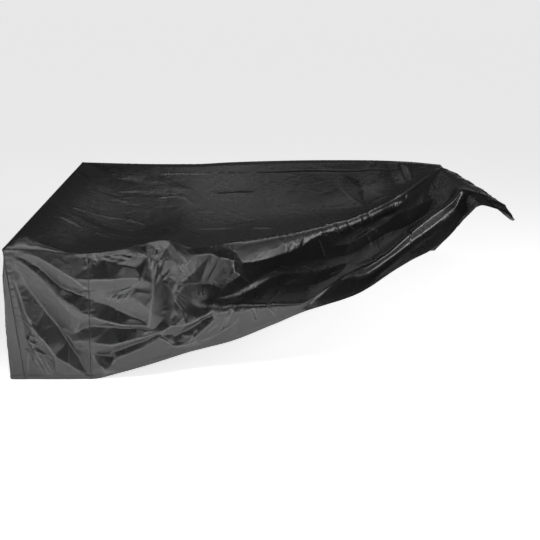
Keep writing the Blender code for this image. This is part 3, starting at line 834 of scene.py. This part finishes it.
# %% Top panel
TOP_PITCH_ALONG = 0.0145
TOP_PITCH_BACK = 0.0115
CORNER = 0.42  # the square that holds the tuck
NET_SHARE = 0.7  # share of the net's relief that the slack cloth shows
HIGHLIGHT_HALF_WIDTH = 0.013  # least half width of the painted highlight along a crease
# strength of the painted highlight on the top's creases
HIGHLIGHT_STRENGTH = 2.6
TUCK_HIGHLIGHT = ((0.05, 0.006, 0.20, 0.006, 1.0, 0.008),)  # a painted highlight along the top of the tuck
top_along = spread(SEAM_LENGTH, SEAM_ROWS, SEAM_ROWS, TOP_PITCH_ALONG)[0]


def ring(width, height, pitch):
    """Points round a rectangle, to hold a net's border."""
    xs, ys = np.arange(0, width + pitch / 2, pitch), np.arange(pitch, height - pitch / 2, pitch)
    return [(x, y) for x in xs for y in (0.0, height)] + [(x, y) for y in ys for x in (0.0, xs[-1])]


def top_panel():
    """Points, cloth coordinates, paler edges from wear and painted highlight, and painted crease highlights
    of the top panel.
    """
    base, run = hang(top_base(top_along), SEAM_ROWS, SEAM_ROWS, pitch=TOP_PITCH_BACK)
    x, y = base[..., 0], base[..., 1]
    place = np.repeat(top_along[:, None], base.shape[1], axis=1)
    to_back = run[:, -1:] - run
    to_left = x - LEFT
    to_right = place[-1:, :] - place
    inner = np.minimum(np.minimum(run, to_back), np.minimum(to_left, to_right))
    hold = ease(0, 0.04, inner)
    field = facet_field(TOP_NET, [(a + LEFT, b - BACK) for a, b in ring(LENGTH, DEPTH, 0.14)], x, y)
    height = NET_SHARE * field + tents(TOP_CREASES, x, y) + packing_lines(x, y)
    fine = wrinkles(41, 420, (LENGTH, DEPTH), (0.05, 0.22), (0.0005, 0.0018), (0.014, 0.026))
    height += tents(fine, x - LEFT, y + BACK)
    height *= hold
    # The tuck stands on the front seam itself, so it is added after the rest has died away there.
    tuck = facet_field(TUCK, ring(CORNER, CORNER, 0.06), place, run)
    height += tuck * ease(0, 0.03, place)
    # Painted highlights: the colour is made paler along the raised creases and along the top of the tuck.
    tops = [(a, b, c, d, 1.0, max(w, HIGHLIGHT_HALF_WIDTH)) for a, b, c, d, h, w in TOP_CREASES if h > 0]
    ridges = np.clip(tents(tops, x, y), 0, 1) ** 2 * hold * HIGHLIGHT_STRENGTH
    ridges += np.clip(tents(TUCK_HIGHLIGHT, place, run), 0, 1)
    height += seam_relief(run, place, 51) + seam_relief(to_back, place, 52)
    height += seam_relief(np.maximum(to_left, 0), run, 53) + seam_relief(to_right, run, 54)
    points = base + outward(base) * height[..., None]
    return points, np.stack([x, y], axis=-1), seam_wear_and_highlight(inner), ridges


top_points, *top_rest = top_panel()
make_sheet("top_cloth", top_points, *top_rest)

# %% [markdown]
# ## The left side and the back
#
# These hang straight from their seams to the floor. The left side comes round the near corner a little
# way, and both fall in soft upright waves with a few slack creases, since nothing pulls on them.

# %% Left side surface
FAR_CORNER = np.array([LEFT, BACK, 0.0])
CORNER_RUN = 0.12  # share of the left side that turns the near corner
FLARE = 0.030  # how far its hem stands out
SIDE_WAVE = 0.012  # depth of its upright waves at the hem


def left_base(shares):
    """Dense columns of the left side, at shares of the way from the near corner seam to the far corner."""
    first = np.array([front["seam_x"][0], front["seam_y"][0], 0.0])
    edge_way = (FAR_CORNER - first) / (FAR_CORNER[1] - first[1])
    down = np.linspace(0, 1, DENSE)
    square = (1 - ease(0.0, 0.25, down))[:, None]
    # Three columns steer the turn: the near edge, the corner itself and where the side runs straight.
    near = first + np.stack([0.043 * down, -0.010 * down, 0 * down], axis=1)
    low_turn = np.array([LEFT - 0.001, -1.096, 0.0])
    low_straight = np.array([LEFT - 0.001, -1.045, 0.0])
    turn = (first + edge_way * 0.010) * square + low_turn * (1 - square)
    straight = (first + edge_way * 0.037) * square + low_straight * (1 - square)
    turn[:, 0] -= FLARE * down
    straight[:, 0] -= FLARE * down
    dense = []
    for share in shares:
        if share < CORNER_RUN:
            part = share / CORNER_RUN
            weights = np.array([(1 - part) ** 2, 5.0 * part * (1 - part), part**2])
            point = (near * weights[0] + turn * weights[1] + straight * weights[2]) / weights.sum()
        else:
            part = (share - CORNER_RUN) / (1 - CORNER_RUN)
            point = straight + (FAR_CORNER - straight) * part
            swell = math.sin(math.pi * part) ** 0.5 if 0 < part < 1 else 0.0
            point[:, 0] -= SIDE_WAVE * down * swell * np.sin(5.3 * point[:, 1] + 1.0)
        top_z = np.interp(point[:, 1], (-1.082, BACK), (0.730, 0.735))
        point[:, 2] = top_z * (1 - down)
        dense.append(point)
    return np.array(dense)


# %% Back surface
BACK_LEAN = 0.010
BACK_WAVE = 0.014


def back_base(across):
    """Dense columns of the back, at each x, from the top edge to the floor."""
    down = np.linspace(0, 1, DENSE)
    dense = []
    for x in across:
        top_z = through(edge["x"], edge["z"], np.array([x]))[0]
        ends = max(0.0, math.cos(math.pi * x / LENGTH)) ** 0.5
        wave = BACK_WAVE * down * ends * math.sin(6.1 * x + 0.7)
        y = BACK + BACK_LEAN * down * ends + wave
        dense.append(np.stack([np.full_like(down, x), y, top_z * (1 - down)], axis=1))
    return np.array(dense)


# %% Hanging sides
SIDE_PITCH = 0.0115
SIDE_ROWS = 62
UPRIGHT = math.pi / 2


def hanging_panel(base_columns, place, seed, size):
    """Points, cloth coordinates, paler edges from wear and painted highlight, and painted highlights of a
    side that hangs from a seam to its hem.
    """
    base, drop = hang(base_columns, SEAM_ROWS, HEM_ROWS, count=SIDE_ROWS)
    along = np.repeat(place[:, None], base.shape[1], axis=1)
    to_ends = np.minimum(along - place[0], place[-1] - along)
    to_hem = drop[:, -1:] - drop
    hold = ease(0, 0.04, drop) * ease(0, 0.05, to_ends) * (0.25 + 0.75 * ease(0, 0.05, to_hem))
    # Long upright waves, and short wrinkles between them.
    long = wrinkles(seed, 26, size, (0.25, 0.60), (0.004, 0.010), (0.035, 0.070), UPRIGHT, 0.7)
    short = wrinkles(seed + 1, 190, size, (0.04, 0.16), (0.0006, 0.0030), (0.009, 0.022))
    height = tents(long, along, drop) + tents(short, along, drop)
    height *= hold
    # A faint highlight is painted along the tops of the long waves.
    tops = [(*row[:4], 1.0, 0.010) for row in long if row[4] > 0]
    ridges = np.clip(tents(tops, along, drop), 0, 1) * 0.4
    height += seam_relief(drop, along, seed + 2) + seam_relief(to_ends, drop, seed + 3)
    height += hem_relief(to_hem, along, seed + 4)
    points = base + outward(base) * height[..., None]
    points[..., 2] = np.maximum(points[..., 2], 0.0)
    wear_and_edge_highlight = seam_wear_and_highlight(np.minimum(drop, to_ends), to_hem)
    return points, np.stack([along, drop], axis=-1), wear_and_edge_highlight, ridges * hold


# %% Left side
LEFT_RUN = 2.20
left_place = spread(LEFT_RUN, SEAM_ROWS, SEAM_ROWS, SIDE_PITCH)[0]
left_dense = left_base(left_place / LEFT_RUN)
# The first column is the front's own edge, and the next few ease into it.
corner_column = front_base(np.array([0.0]))[0]
shift = corner_column - left_dense[0]
left_dense += shift[None] * (1 - ease(0, 0.10, left_place))[:, None, None]
left_points, *left_rest = hanging_panel(left_dense, left_place, 61, (LEFT_RUN, 0.73))
make_sheet("left_cloth", left_points, *left_rest)

# %% [markdown]
# ## The right side
#
# At the right end the cloth has been lifted off. Its side panel starts along the ends of the top and the
# front, turns over a high shoulder, and falls to a hem that slants from the floor at the back up to the
# front.

# %% Right side surface
RIGHT_OVER = 0.003  # how far the shoulder stands outside the cover's end
RIGHT_HEM_OVER = 0.010  # and its hem


def right_base():
    """Dense columns of the right side, each from the seam over the shoulder to the hem."""
    end = np.array([SEAM_LENGTH])
    top_end, _ = hang(top_base(end), SEAM_ROWS, (0.0,), pitch=SIDE_PITCH)
    front_end, _ = hang(front_base(end), (0.0,), SEAM_ROWS, pitch=SIDE_PITCH)
    starts = np.concatenate([top_end[0][::-1], front_end[0][1:]])
    dense = []
    for start in starts:
        share = (BACK - start[1]) / (BACK - starts[-1][1])
        depth = BACK + (SIDE[0][0] - BACK) * share
        shoulder_z = through(side["y"], side["shoulder_z"], [depth])[0]
        hem_z = through(side["y"], side["hem_z"], [depth])[0]
        shoulder = np.array([RIGHT + RIGHT_OVER, depth, shoulder_z])
        hem = np.array([RIGHT + RIGHT_HEM_OVER, depth + 0.05 * ease(0.3, 1.0, share), hem_z])
        knee = (start + shoulder) / 2 + np.array([0.003, 0, 0.004]) * share
        knots = np.array([start, knee, shoulder, (shoulder + hem) / 2, hem])
        at = distances(knots)
        # A hair is added to each, so that no two knots share a place.
        at = at / at[-1] + np.arange(5) * 1e-6
        line = np.stack([np.interp(np.linspace(0, 1, DENSE), at, knots[:, k]) for k in range(3)], axis=1)
        dense.append(line)
    return np.array(dense)


right_dense = right_base()
right_place = distances(right_dense[:, 0])
right_points, *right_rest = hanging_panel(right_dense, right_place, 81, (right_place[-1], 0.72))
make_sheet("right_cloth", right_points, *right_rest)

# %% Back panel
# Its last column is the right side's first, and the ones before ease into it.
back_place = spread(LENGTH, SEAM_ROWS, SEAM_ROWS, SIDE_PITCH)[0]
back_dense = back_base(LEFT + back_place)
shift = right_dense[0] - back_dense[-1]
back_dense += shift[None] * ease(LENGTH - 0.25, LENGTH, back_place)[:, None, None]
back_points, *back_rest = hanging_panel(back_dense, back_place, 71, (LENGTH, 0.73))
make_sheet("back_cloth", back_points, *back_rest)

# %% [markdown]
# ## Stitches
#
# A topstitch runs beside each seam and along the hem. Each stitch is a short bead of thread, and there
# are thousands, so Geometry Nodes lay them: the rows of the sheets become curves, the curves are divided
# at the stitch length, and a low bead is turned to lie along each step.

# %% Stitch rows
STITCH_PITCH = 0.0055
STITCH_LONG = 0.0042
STITCH_THICK = 0.0011
LIFT = 0.0002


def stitch_path(points, row=None, column=None):
    """The points of one row or column of a sheet, lifted a hair off the cloth."""
    lifted = points + outward(points) * LIFT + MIDDLE
    return lifted[column] if row is None else lifted[:, row]


def stitch_tree(material):
    """The node tree that sews a bead of thread along every curve."""
    tree = bpy.data.node_groups.new("stitch_row", "GeometryNodeTree")
    face = tree.interface
    face.new_socket("Geometry", in_out="INPUT", socket_type="NodeSocketGeometry")
    for name, value in (("Pitch", STITCH_PITCH), ("Length", STITCH_LONG), ("Thickness", STITCH_THICK)):
        face.new_socket(name, in_out="INPUT", socket_type="NodeSocketFloat").default_value = value
    face.new_socket("Geometry", in_out="OUTPUT", socket_type="NodeSocketGeometry")
    nodes = tree.nodes
    start, end = nodes.new("NodeGroupInput"), nodes.new("NodeGroupOutput")
    curve = nodes.new("GeometryNodeMeshToCurve")
    step = nodes.new("GeometryNodeResampleCurve")
    step.mode = "LENGTH"
    bead = nodes.new("GeometryNodeMeshIcoSphere")
    bead.inputs["Radius"].default_value = 0.5
    bead.inputs["Subdivisions"].default_value = 1
    size = nodes.new("ShaderNodeCombineXYZ")
    tangent = nodes.new("GeometryNodeInputTangent")
    turn = nodes.new("FunctionNodeAlignRotationToVector")
    turn.axis = "X"
    sew = nodes.new("GeometryNodeInstanceOnPoints")
    real = nodes.new("GeometryNodeRealizeInstances")
    dress = nodes.new("GeometryNodeSetMaterial")
    dress.inputs["Material"].default_value = material
    for giver, output, taker, entry in (
        (start, "Geometry", curve, "Mesh"), (curve, "Curve", step, "Curve"),
        (start, "Pitch", step, "Length"), (start, "Length", size, "X"),
        (start, "Thickness", size, "Y"), (start, "Thickness", size, "Z"),
        (tangent, "Tangent", turn, "Vector"), (step, "Curve", sew, "Points"),
        (bead, "Mesh", sew, "Instance"), (turn, "Rotation", sew, "Rotation"),
        (size, "Vector", sew, "Scale"), (sew, "Instances", real, "Geometry"),
        (real, "Geometry", dress, "Geometry"), (dress, "Geometry", end, "Geometry"),
    ):
        tree.links.new(giver.outputs[output], taker.inputs[entry])
    return tree


# %% [markdown]
# ## Shader maths as Python
#
# A material is a graph of nodes. Writing `1 - mask * 0.4` is easier to read than three Math nodes, so a
# small class wraps a socket and adds the nodes as the expression is worked out.

# %% Wires
class Wire:
    """An output of a material's node tree, which can be added, subtracted and multiplied as a number."""

    def __init__(self, tree, socket=None):
        self.tree = tree
        self.socket = socket

    def node(self, kind, settings=(), inputs=(), output=0):
        """Adds a node: its settings first, then the values or wires of its inputs."""
        made = self.tree.nodes.new(kind)
        for name, value in dict(settings).items():
            setattr(made, name, value)
        for name, value in dict(inputs).items():
            if isinstance(value, Wire):
                self.tree.links.new(value.socket, made.inputs[name])
            else:
                made.inputs[name].default_value = value
        return Wire(self.tree, made.outputs[output])

    def mix(self, factor, low, high):
        """A colour between low, where the factor is 0, and high, where it is 1."""
        return self.node("ShaderNodeMix", {"data_type": "RGBA"}, {"Factor": factor, 6: low, 7: high}, 2)

    def maths(self, operation, one, other):
        """The result of one Math node on two numbers or wires."""
        return self.node("ShaderNodeMath", {"operation": operation}, {0: one, 1: other})

    def __add__(self, other):
        return self.maths("ADD", self, other)

    __radd__ = __add__

    def __sub__(self, other):
        return self.maths("SUBTRACT", self, other)

    def __rsub__(self, other):
        return self.maths("SUBTRACT", other, self)

    def __mul__(self, other):
        return self.maths("MULTIPLY", self, other)

    __rmul__ = __mul__


# %% [markdown]
# ## The cloth's finish
#
# The cover is coated polyester in a plain weave: nearly black, with a soft sheen that shows the light on
# every facet. Three things vary over it: a cloudy change of gloss where the coating is thicker, a fine
# crinkle between the folds, and the weave itself, crossed threads about a millimetre apart. Seams and
# hems are duller from wear, and their colour is a little paler, which is partly wear and partly a painted
# highlight. Along the tops of the sharpest creases the colour is much paler: a painted highlight, broken
# up by the crinkle.

# %% Colours, and a new material
WEAVE_PITCH = 0.0011
BLACK = (0.0125, 0.0125, 0.0133, 1)
# Colour at seams and hems: wear, and partly a painted highlight.
WEAR_AND_HIGHLIGHT_COLOUR = (0.028, 0.028, 0.029, 1)
# Painted highlight colour on the tops of sharp creases.
PAINTED_CREASE_HIGHLIGHT = (0.30, 0.30, 0.30, 1)
CRINKLE_DEPTH = 0.0024


def new_material(name, **fixed):
    """A material, its shader with the fixed values set, and the start of its wires."""
    material = bpy.data.materials.new(name)
    material.use_nodes = True
    shader = material.node_tree.nodes["Principled BSDF"]
    for label, value in fixed.items():
        shader.inputs[label.replace("_", " ")].default_value = value
    return material, shader, Wire(material.node_tree)


# %% The cloth
def black_cloth(name, roughness):
    """Coated woven polyester with its weave, crinkle and gloss clouds, edges paled by wear and a painted
    highlight, and painted crease highlights.
    """
    material, shader, start = new_material(
        name, Specular_IOR_Level=0.7, Sheen_Weight=0.02, Sheen_Roughness=0.45
    )
    object_place = start.node("ShaderNodeTexCoord", output="Object")
    cloth_place = start.node("ShaderNodeUVMap", {"uv_map": "cloth"})
    wear_and_edge_highlight = start.node("ShaderNodeAttribute", {"attribute_name": "wear_and_edge_highlight"}, output="Fac")
    ridge = start.node("ShaderNodeAttribute", {"attribute_name": "ridge"}, output="Fac")
    clouds = start.node("ShaderNodeTexNoise", (), {"Vector": object_place, "Scale": 5.0, "Detail": 4.0})
    crinkle = start.node(
        "ShaderNodeTexNoise", (), {"Vector": cloth_place, "Scale": 26.0, "Detail": 2.0, "Roughness": 0.5}
    )
    # A Wave texture multiplies by 20 before it takes the sine, so this scale makes one thread each pitch.
    wave = {"wave_type": "BANDS", "wave_profile": "SIN"}
    sizes = {"Vector": cloth_place, "Scale": math.pi * 2 / (20 * WEAVE_PITCH), "Distortion": 0.0}
    warp = start.node("ShaderNodeTexWave", {**wave, "bands_direction": "X"}, sizes, output="Fac")
    weft = start.node("ShaderNodeTexWave", {**wave, "bands_direction": "Y"}, sizes, output="Fac")
    weave = warp * weft
    # Near seams and hems the paler colour is wear and partly a painted highlight; along crease tops it is a
    # painted highlight.
    tint = clouds * 0.5 + wear_and_edge_highlight * 0.35 + weave * 0.12 - 0.10
    colour = start.mix(ridge * crinkle * 0.4, start.mix(tint, BLACK, WEAR_AND_HIGHLIGHT_COLOUR), PAINTED_CREASE_HIGHLIGHT)
    gloss = clouds * 0.16 + wear_and_edge_highlight * 0.10 + (roughness - 0.08)
    relief = crinkle * 0.8 + weave * 0.05
    shape = start.node("ShaderNodeBump", (), {"Strength": 1.0, "Distance": CRINKLE_DEPTH, "Height": relief})
    for wire, entry in ((colour, "Base Color"), (gloss, "Roughness"), (shape, "Normal")):
        start.tree.links.new(wire.socket, shader.inputs[entry])
    return material


# %% The thread
THREAD_BLACK = (0.022, 0.022, 0.023, 1)
THREAD_PALE = (0.048, 0.048, 0.05, 1)


def thread_material():
    """Black sewing thread, a little paler than the cloth."""
    material, shader, start = new_material("sewing_thread")
    place = start.node("ShaderNodeTexCoord", output="Object")
    fuzz = start.node("ShaderNodeTexNoise", (), {"Vector": place, "Scale": 900.0, "Detail": 2.0})
    colour = start.mix(fuzz, THREAD_BLACK, THREAD_PALE)
    for wire, entry in ((colour, "Base Color"), (fuzz * 0.2 + 0.45, "Roughness")):
        start.tree.links.new(wire.socket, shader.inputs[entry])
    return material


main_cloth = black_cloth("cover_cloth", 0.28)
thread = thread_material()
for sheet in SHEETS.values():
    sheet.data.materials.append(main_cloth)

# %% Sew the rows
# Rows and columns by number: 10 mm from a seam, at a panel's start or end, and 27 mm from a hem's edge.
AT_START, AT_END = 3, -4
AT_HEM = -6
BEAD_FACES = 20
SEWN = {
    "seam_thread": (
        *(stitch_path(top_points, row=place) for place in (AT_START, AT_END)),
        *(stitch_path(top_points, column=place) for place in (AT_START, AT_END)),
        stitch_path(front_points, column=AT_START), stitch_path(front_left_points, column=AT_START),
        stitch_path(left_points, column=AT_END), stitch_path(back_points, column=AT_END),
    ),
    "hem_thread": tuple(
        stitch_path(points, row=AT_HEM)
        for points in (front_left_points, front_points, left_points, back_points, right_points)
    ),
}
sewing = stitch_tree(thread)
THREADS = {}
for name, paths in SEWN.items():
    corners, lines = [], []
    for path in paths:
        lines += [(len(corners) + i, len(corners) + i + 1) for i in range(len(path) - 1)]
        corners += path.tolist()
    guide_mesh = bpy.data.meshes.new(name + "_guide")
    guide_mesh.from_pydata(corners, lines, [])
    guide = put(name + "_guide", guide_mesh)
    sew = guide.modifiers.new("sew", "NODES")
    sew.node_group = sewing
    graph = bpy.context.evaluated_depsgraph_get()
    stitched = bpy.data.meshes.new_from_object(guide.evaluated_get(graph))
    stitched.name = name
    stitched.shade_smooth()
    bpy.data.objects.remove(guide)
    THREADS[name] = put(name, stitched)
    print(f"{name}: {len(stitched.polygons) // BEAD_FACES} stitches")

# %% [markdown]
# ## Fit the sheets to the frame
#
# Every sheet stands for one CAD panel, whose solid it hides, and rides on the one body of the cover. Its
# area is printed beside the size it was cut to.

PANELS = (
    ("top_cloth", "top_panel", top_points, (SEAM_LENGTH, 2.17)),
    ("front_left_cloth", "skirt_front_left", front_left_points, (UPRIGHT_SEAM, 0.74)),
    ("front_cloth", "skirt_front", front_points, (SEAM_LENGTH - UPRIGHT_SEAM, 1.0)),
    ("left_cloth", "skirt_left", left_points, (2.18, 0.74)),
    ("back_cloth", "skirt_back", back_points, (LENGTH, 0.76)),
    ("right_cloth", "skirt_right", right_points, (1.72, 0.74)),
)
for name, node, points, flat in PANELS:
    sheet = SHEETS[name]
    area = flat_area(points)
    print(f"{name}: {area:.2f} m2 of {flat[0] * flat[1]:.2f}")
    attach(sheet, "root")
    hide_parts(node)
    min(area, flat[0] * flat[1])
for sewn in THREADS.values():
    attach(sewn, "root")

# %% [markdown]
# ## Floor, light and camera
#
# Black cloth shows little of its own colour. What the eye reads is the light that it mirrors softly. The
# pale floor lights every facet that faces forward and down, and the ones that face up stay dark, because
# there is little above to mirror. So the floor itself glows a little, and a lamp over it lays a bright
# pool in front of the cover. A lamp at the right grazes the top and the raised end, two weak ones behind
# draw pale lines on the far creases, and a weak one at the left front keeps the near corner from going
# black.

# %% Floor
FLOOR_REACH = 80.0
FLOOR_GLOW = 0.76
PALE = (0.86, 0.86, 0.86, 1)
WHITE = (1, 1, 1, 1)

floor_mesh = bpy.data.meshes.new("floor")
floor_corners = [(x * FLOOR_REACH, y * FLOOR_REACH, 0) for x, y in ((-1, -1), (1, -1), (1, 1), (-1, 1))]
floor_mesh.from_pydata(floor_corners, [], [(0, 1, 2, 3)])
pale_floor, *_ = new_material(
    "pale_floor", Base_Color=PALE, Roughness=0.8, Emission_Color=WHITE, Emission_Strength=FLOOR_GLOW
)
floor_mesh.materials.append(pale_floor)
put("floor", floor_mesh)

# %% Light
GLOW_AROUND = 0.045  # what the cloth mirrors from above the floor
GLOW_BEHIND = 0.80  # what the camera sees behind the cover

world = bpy.data.worlds.new("studio")
scene.world = world
world.use_nodes = True
air = Wire(world.node_tree)
seen = air.node("ShaderNodeLightPath", output="Is Camera Ray")
glow = air.node("ShaderNodeMix", {"data_type": "FLOAT"}, {0: seen, 2: GLOW_AROUND, 3: GLOW_BEHIND})
backdrop = world.node_tree.nodes["Background"]
backdrop.inputs["Color"].default_value = WHITE
world.node_tree.links.new(glow.socket, backdrop.inputs["Strength"])


def soft_light(name, place, aim, wide, high, power, spread_angle=math.pi):
    """A rectangular lamp that points at its aim. A spread below a half turn keeps its light in a cone."""
    lamp = bpy.data.lights.new(name, "AREA")
    lamp.shape = "RECTANGLE"
    lamp.size, lamp.size_y = wide, high
    lamp.energy = power
    lamp.spread = spread_angle
    way = (Vector(aim) - Vector(place)).to_track_quat("-Z", "Y")
    put(name, lamp).matrix_world = Matrix.Translation(place) @ way.to_matrix().to_4x4()


soft_light("front_lamp", (-3.4, -3.6, 0.70), (-0.6, -0.9, 0.35), 2.4, 1.3, 3)
soft_light("floor_lamp", (-0.95, -2.7, 2.8), (-0.95, -2.7, 0.0), 3.1, 1.6, 54, math.radians(64))
soft_light("right_lamp", (3.4, -1.5, 2.0), (0.4, -0.35, 0.65), 2.4, 0.9, 58)
soft_light("back_lamp", (0.3, 3.6, 2.6), (0.1, 0.2, 0.5), 2.4, 0.8, 2.3)
soft_light("high_lamp", (-0.9, 3.2, 3.6), (-0.4, 0.2, 0.5), 1.0, 0.6, 5)

# %% [markdown]
# The camera stands where the photograph was taken from: in front, a little above the cover, looking
# slightly down. Its place and turn were found from the edges of the cover, and they are named values
# here.

# %% Camera
CAMERA_PLACE = (-0.19976, -4.73798, 1.91300)
YAW, PITCH, ROLL = 0.0445434, 0.3423682, 0.008535
FOCAL_PIXELS = 751.365
FRAME_PIXELS = 540
SENSOR = 36.0  # millimetres

level_right = Vector((math.cos(YAW), -math.sin(YAW), 0))
level_ahead = Vector((math.sin(YAW), math.cos(YAW), 0))
ahead = level_ahead * math.cos(PITCH) - Vector((0, 0, math.sin(PITCH)))
above = level_ahead * math.sin(PITCH) + Vector((0, 0, math.cos(PITCH)))
right_way = level_right * math.cos(ROLL) + above * math.sin(ROLL)
up_way = above * math.cos(ROLL) - level_right * math.sin(ROLL)
turn = Matrix((right_way, up_way, -ahead)).transposed().to_4x4()
lens = bpy.data.cameras.new("camera")
lens.sensor_width = SENSOR
lens.lens = FOCAL_PIXELS * SENSOR / FRAME_PIXELS
camera = put("camera", lens)
camera.matrix_world = Matrix.Translation(Vector(CAMERA_PLACE) + Vector(MIDDLE)) @ turn
scene.camera = camera
scene.view_settings.view_transform = "Standard"
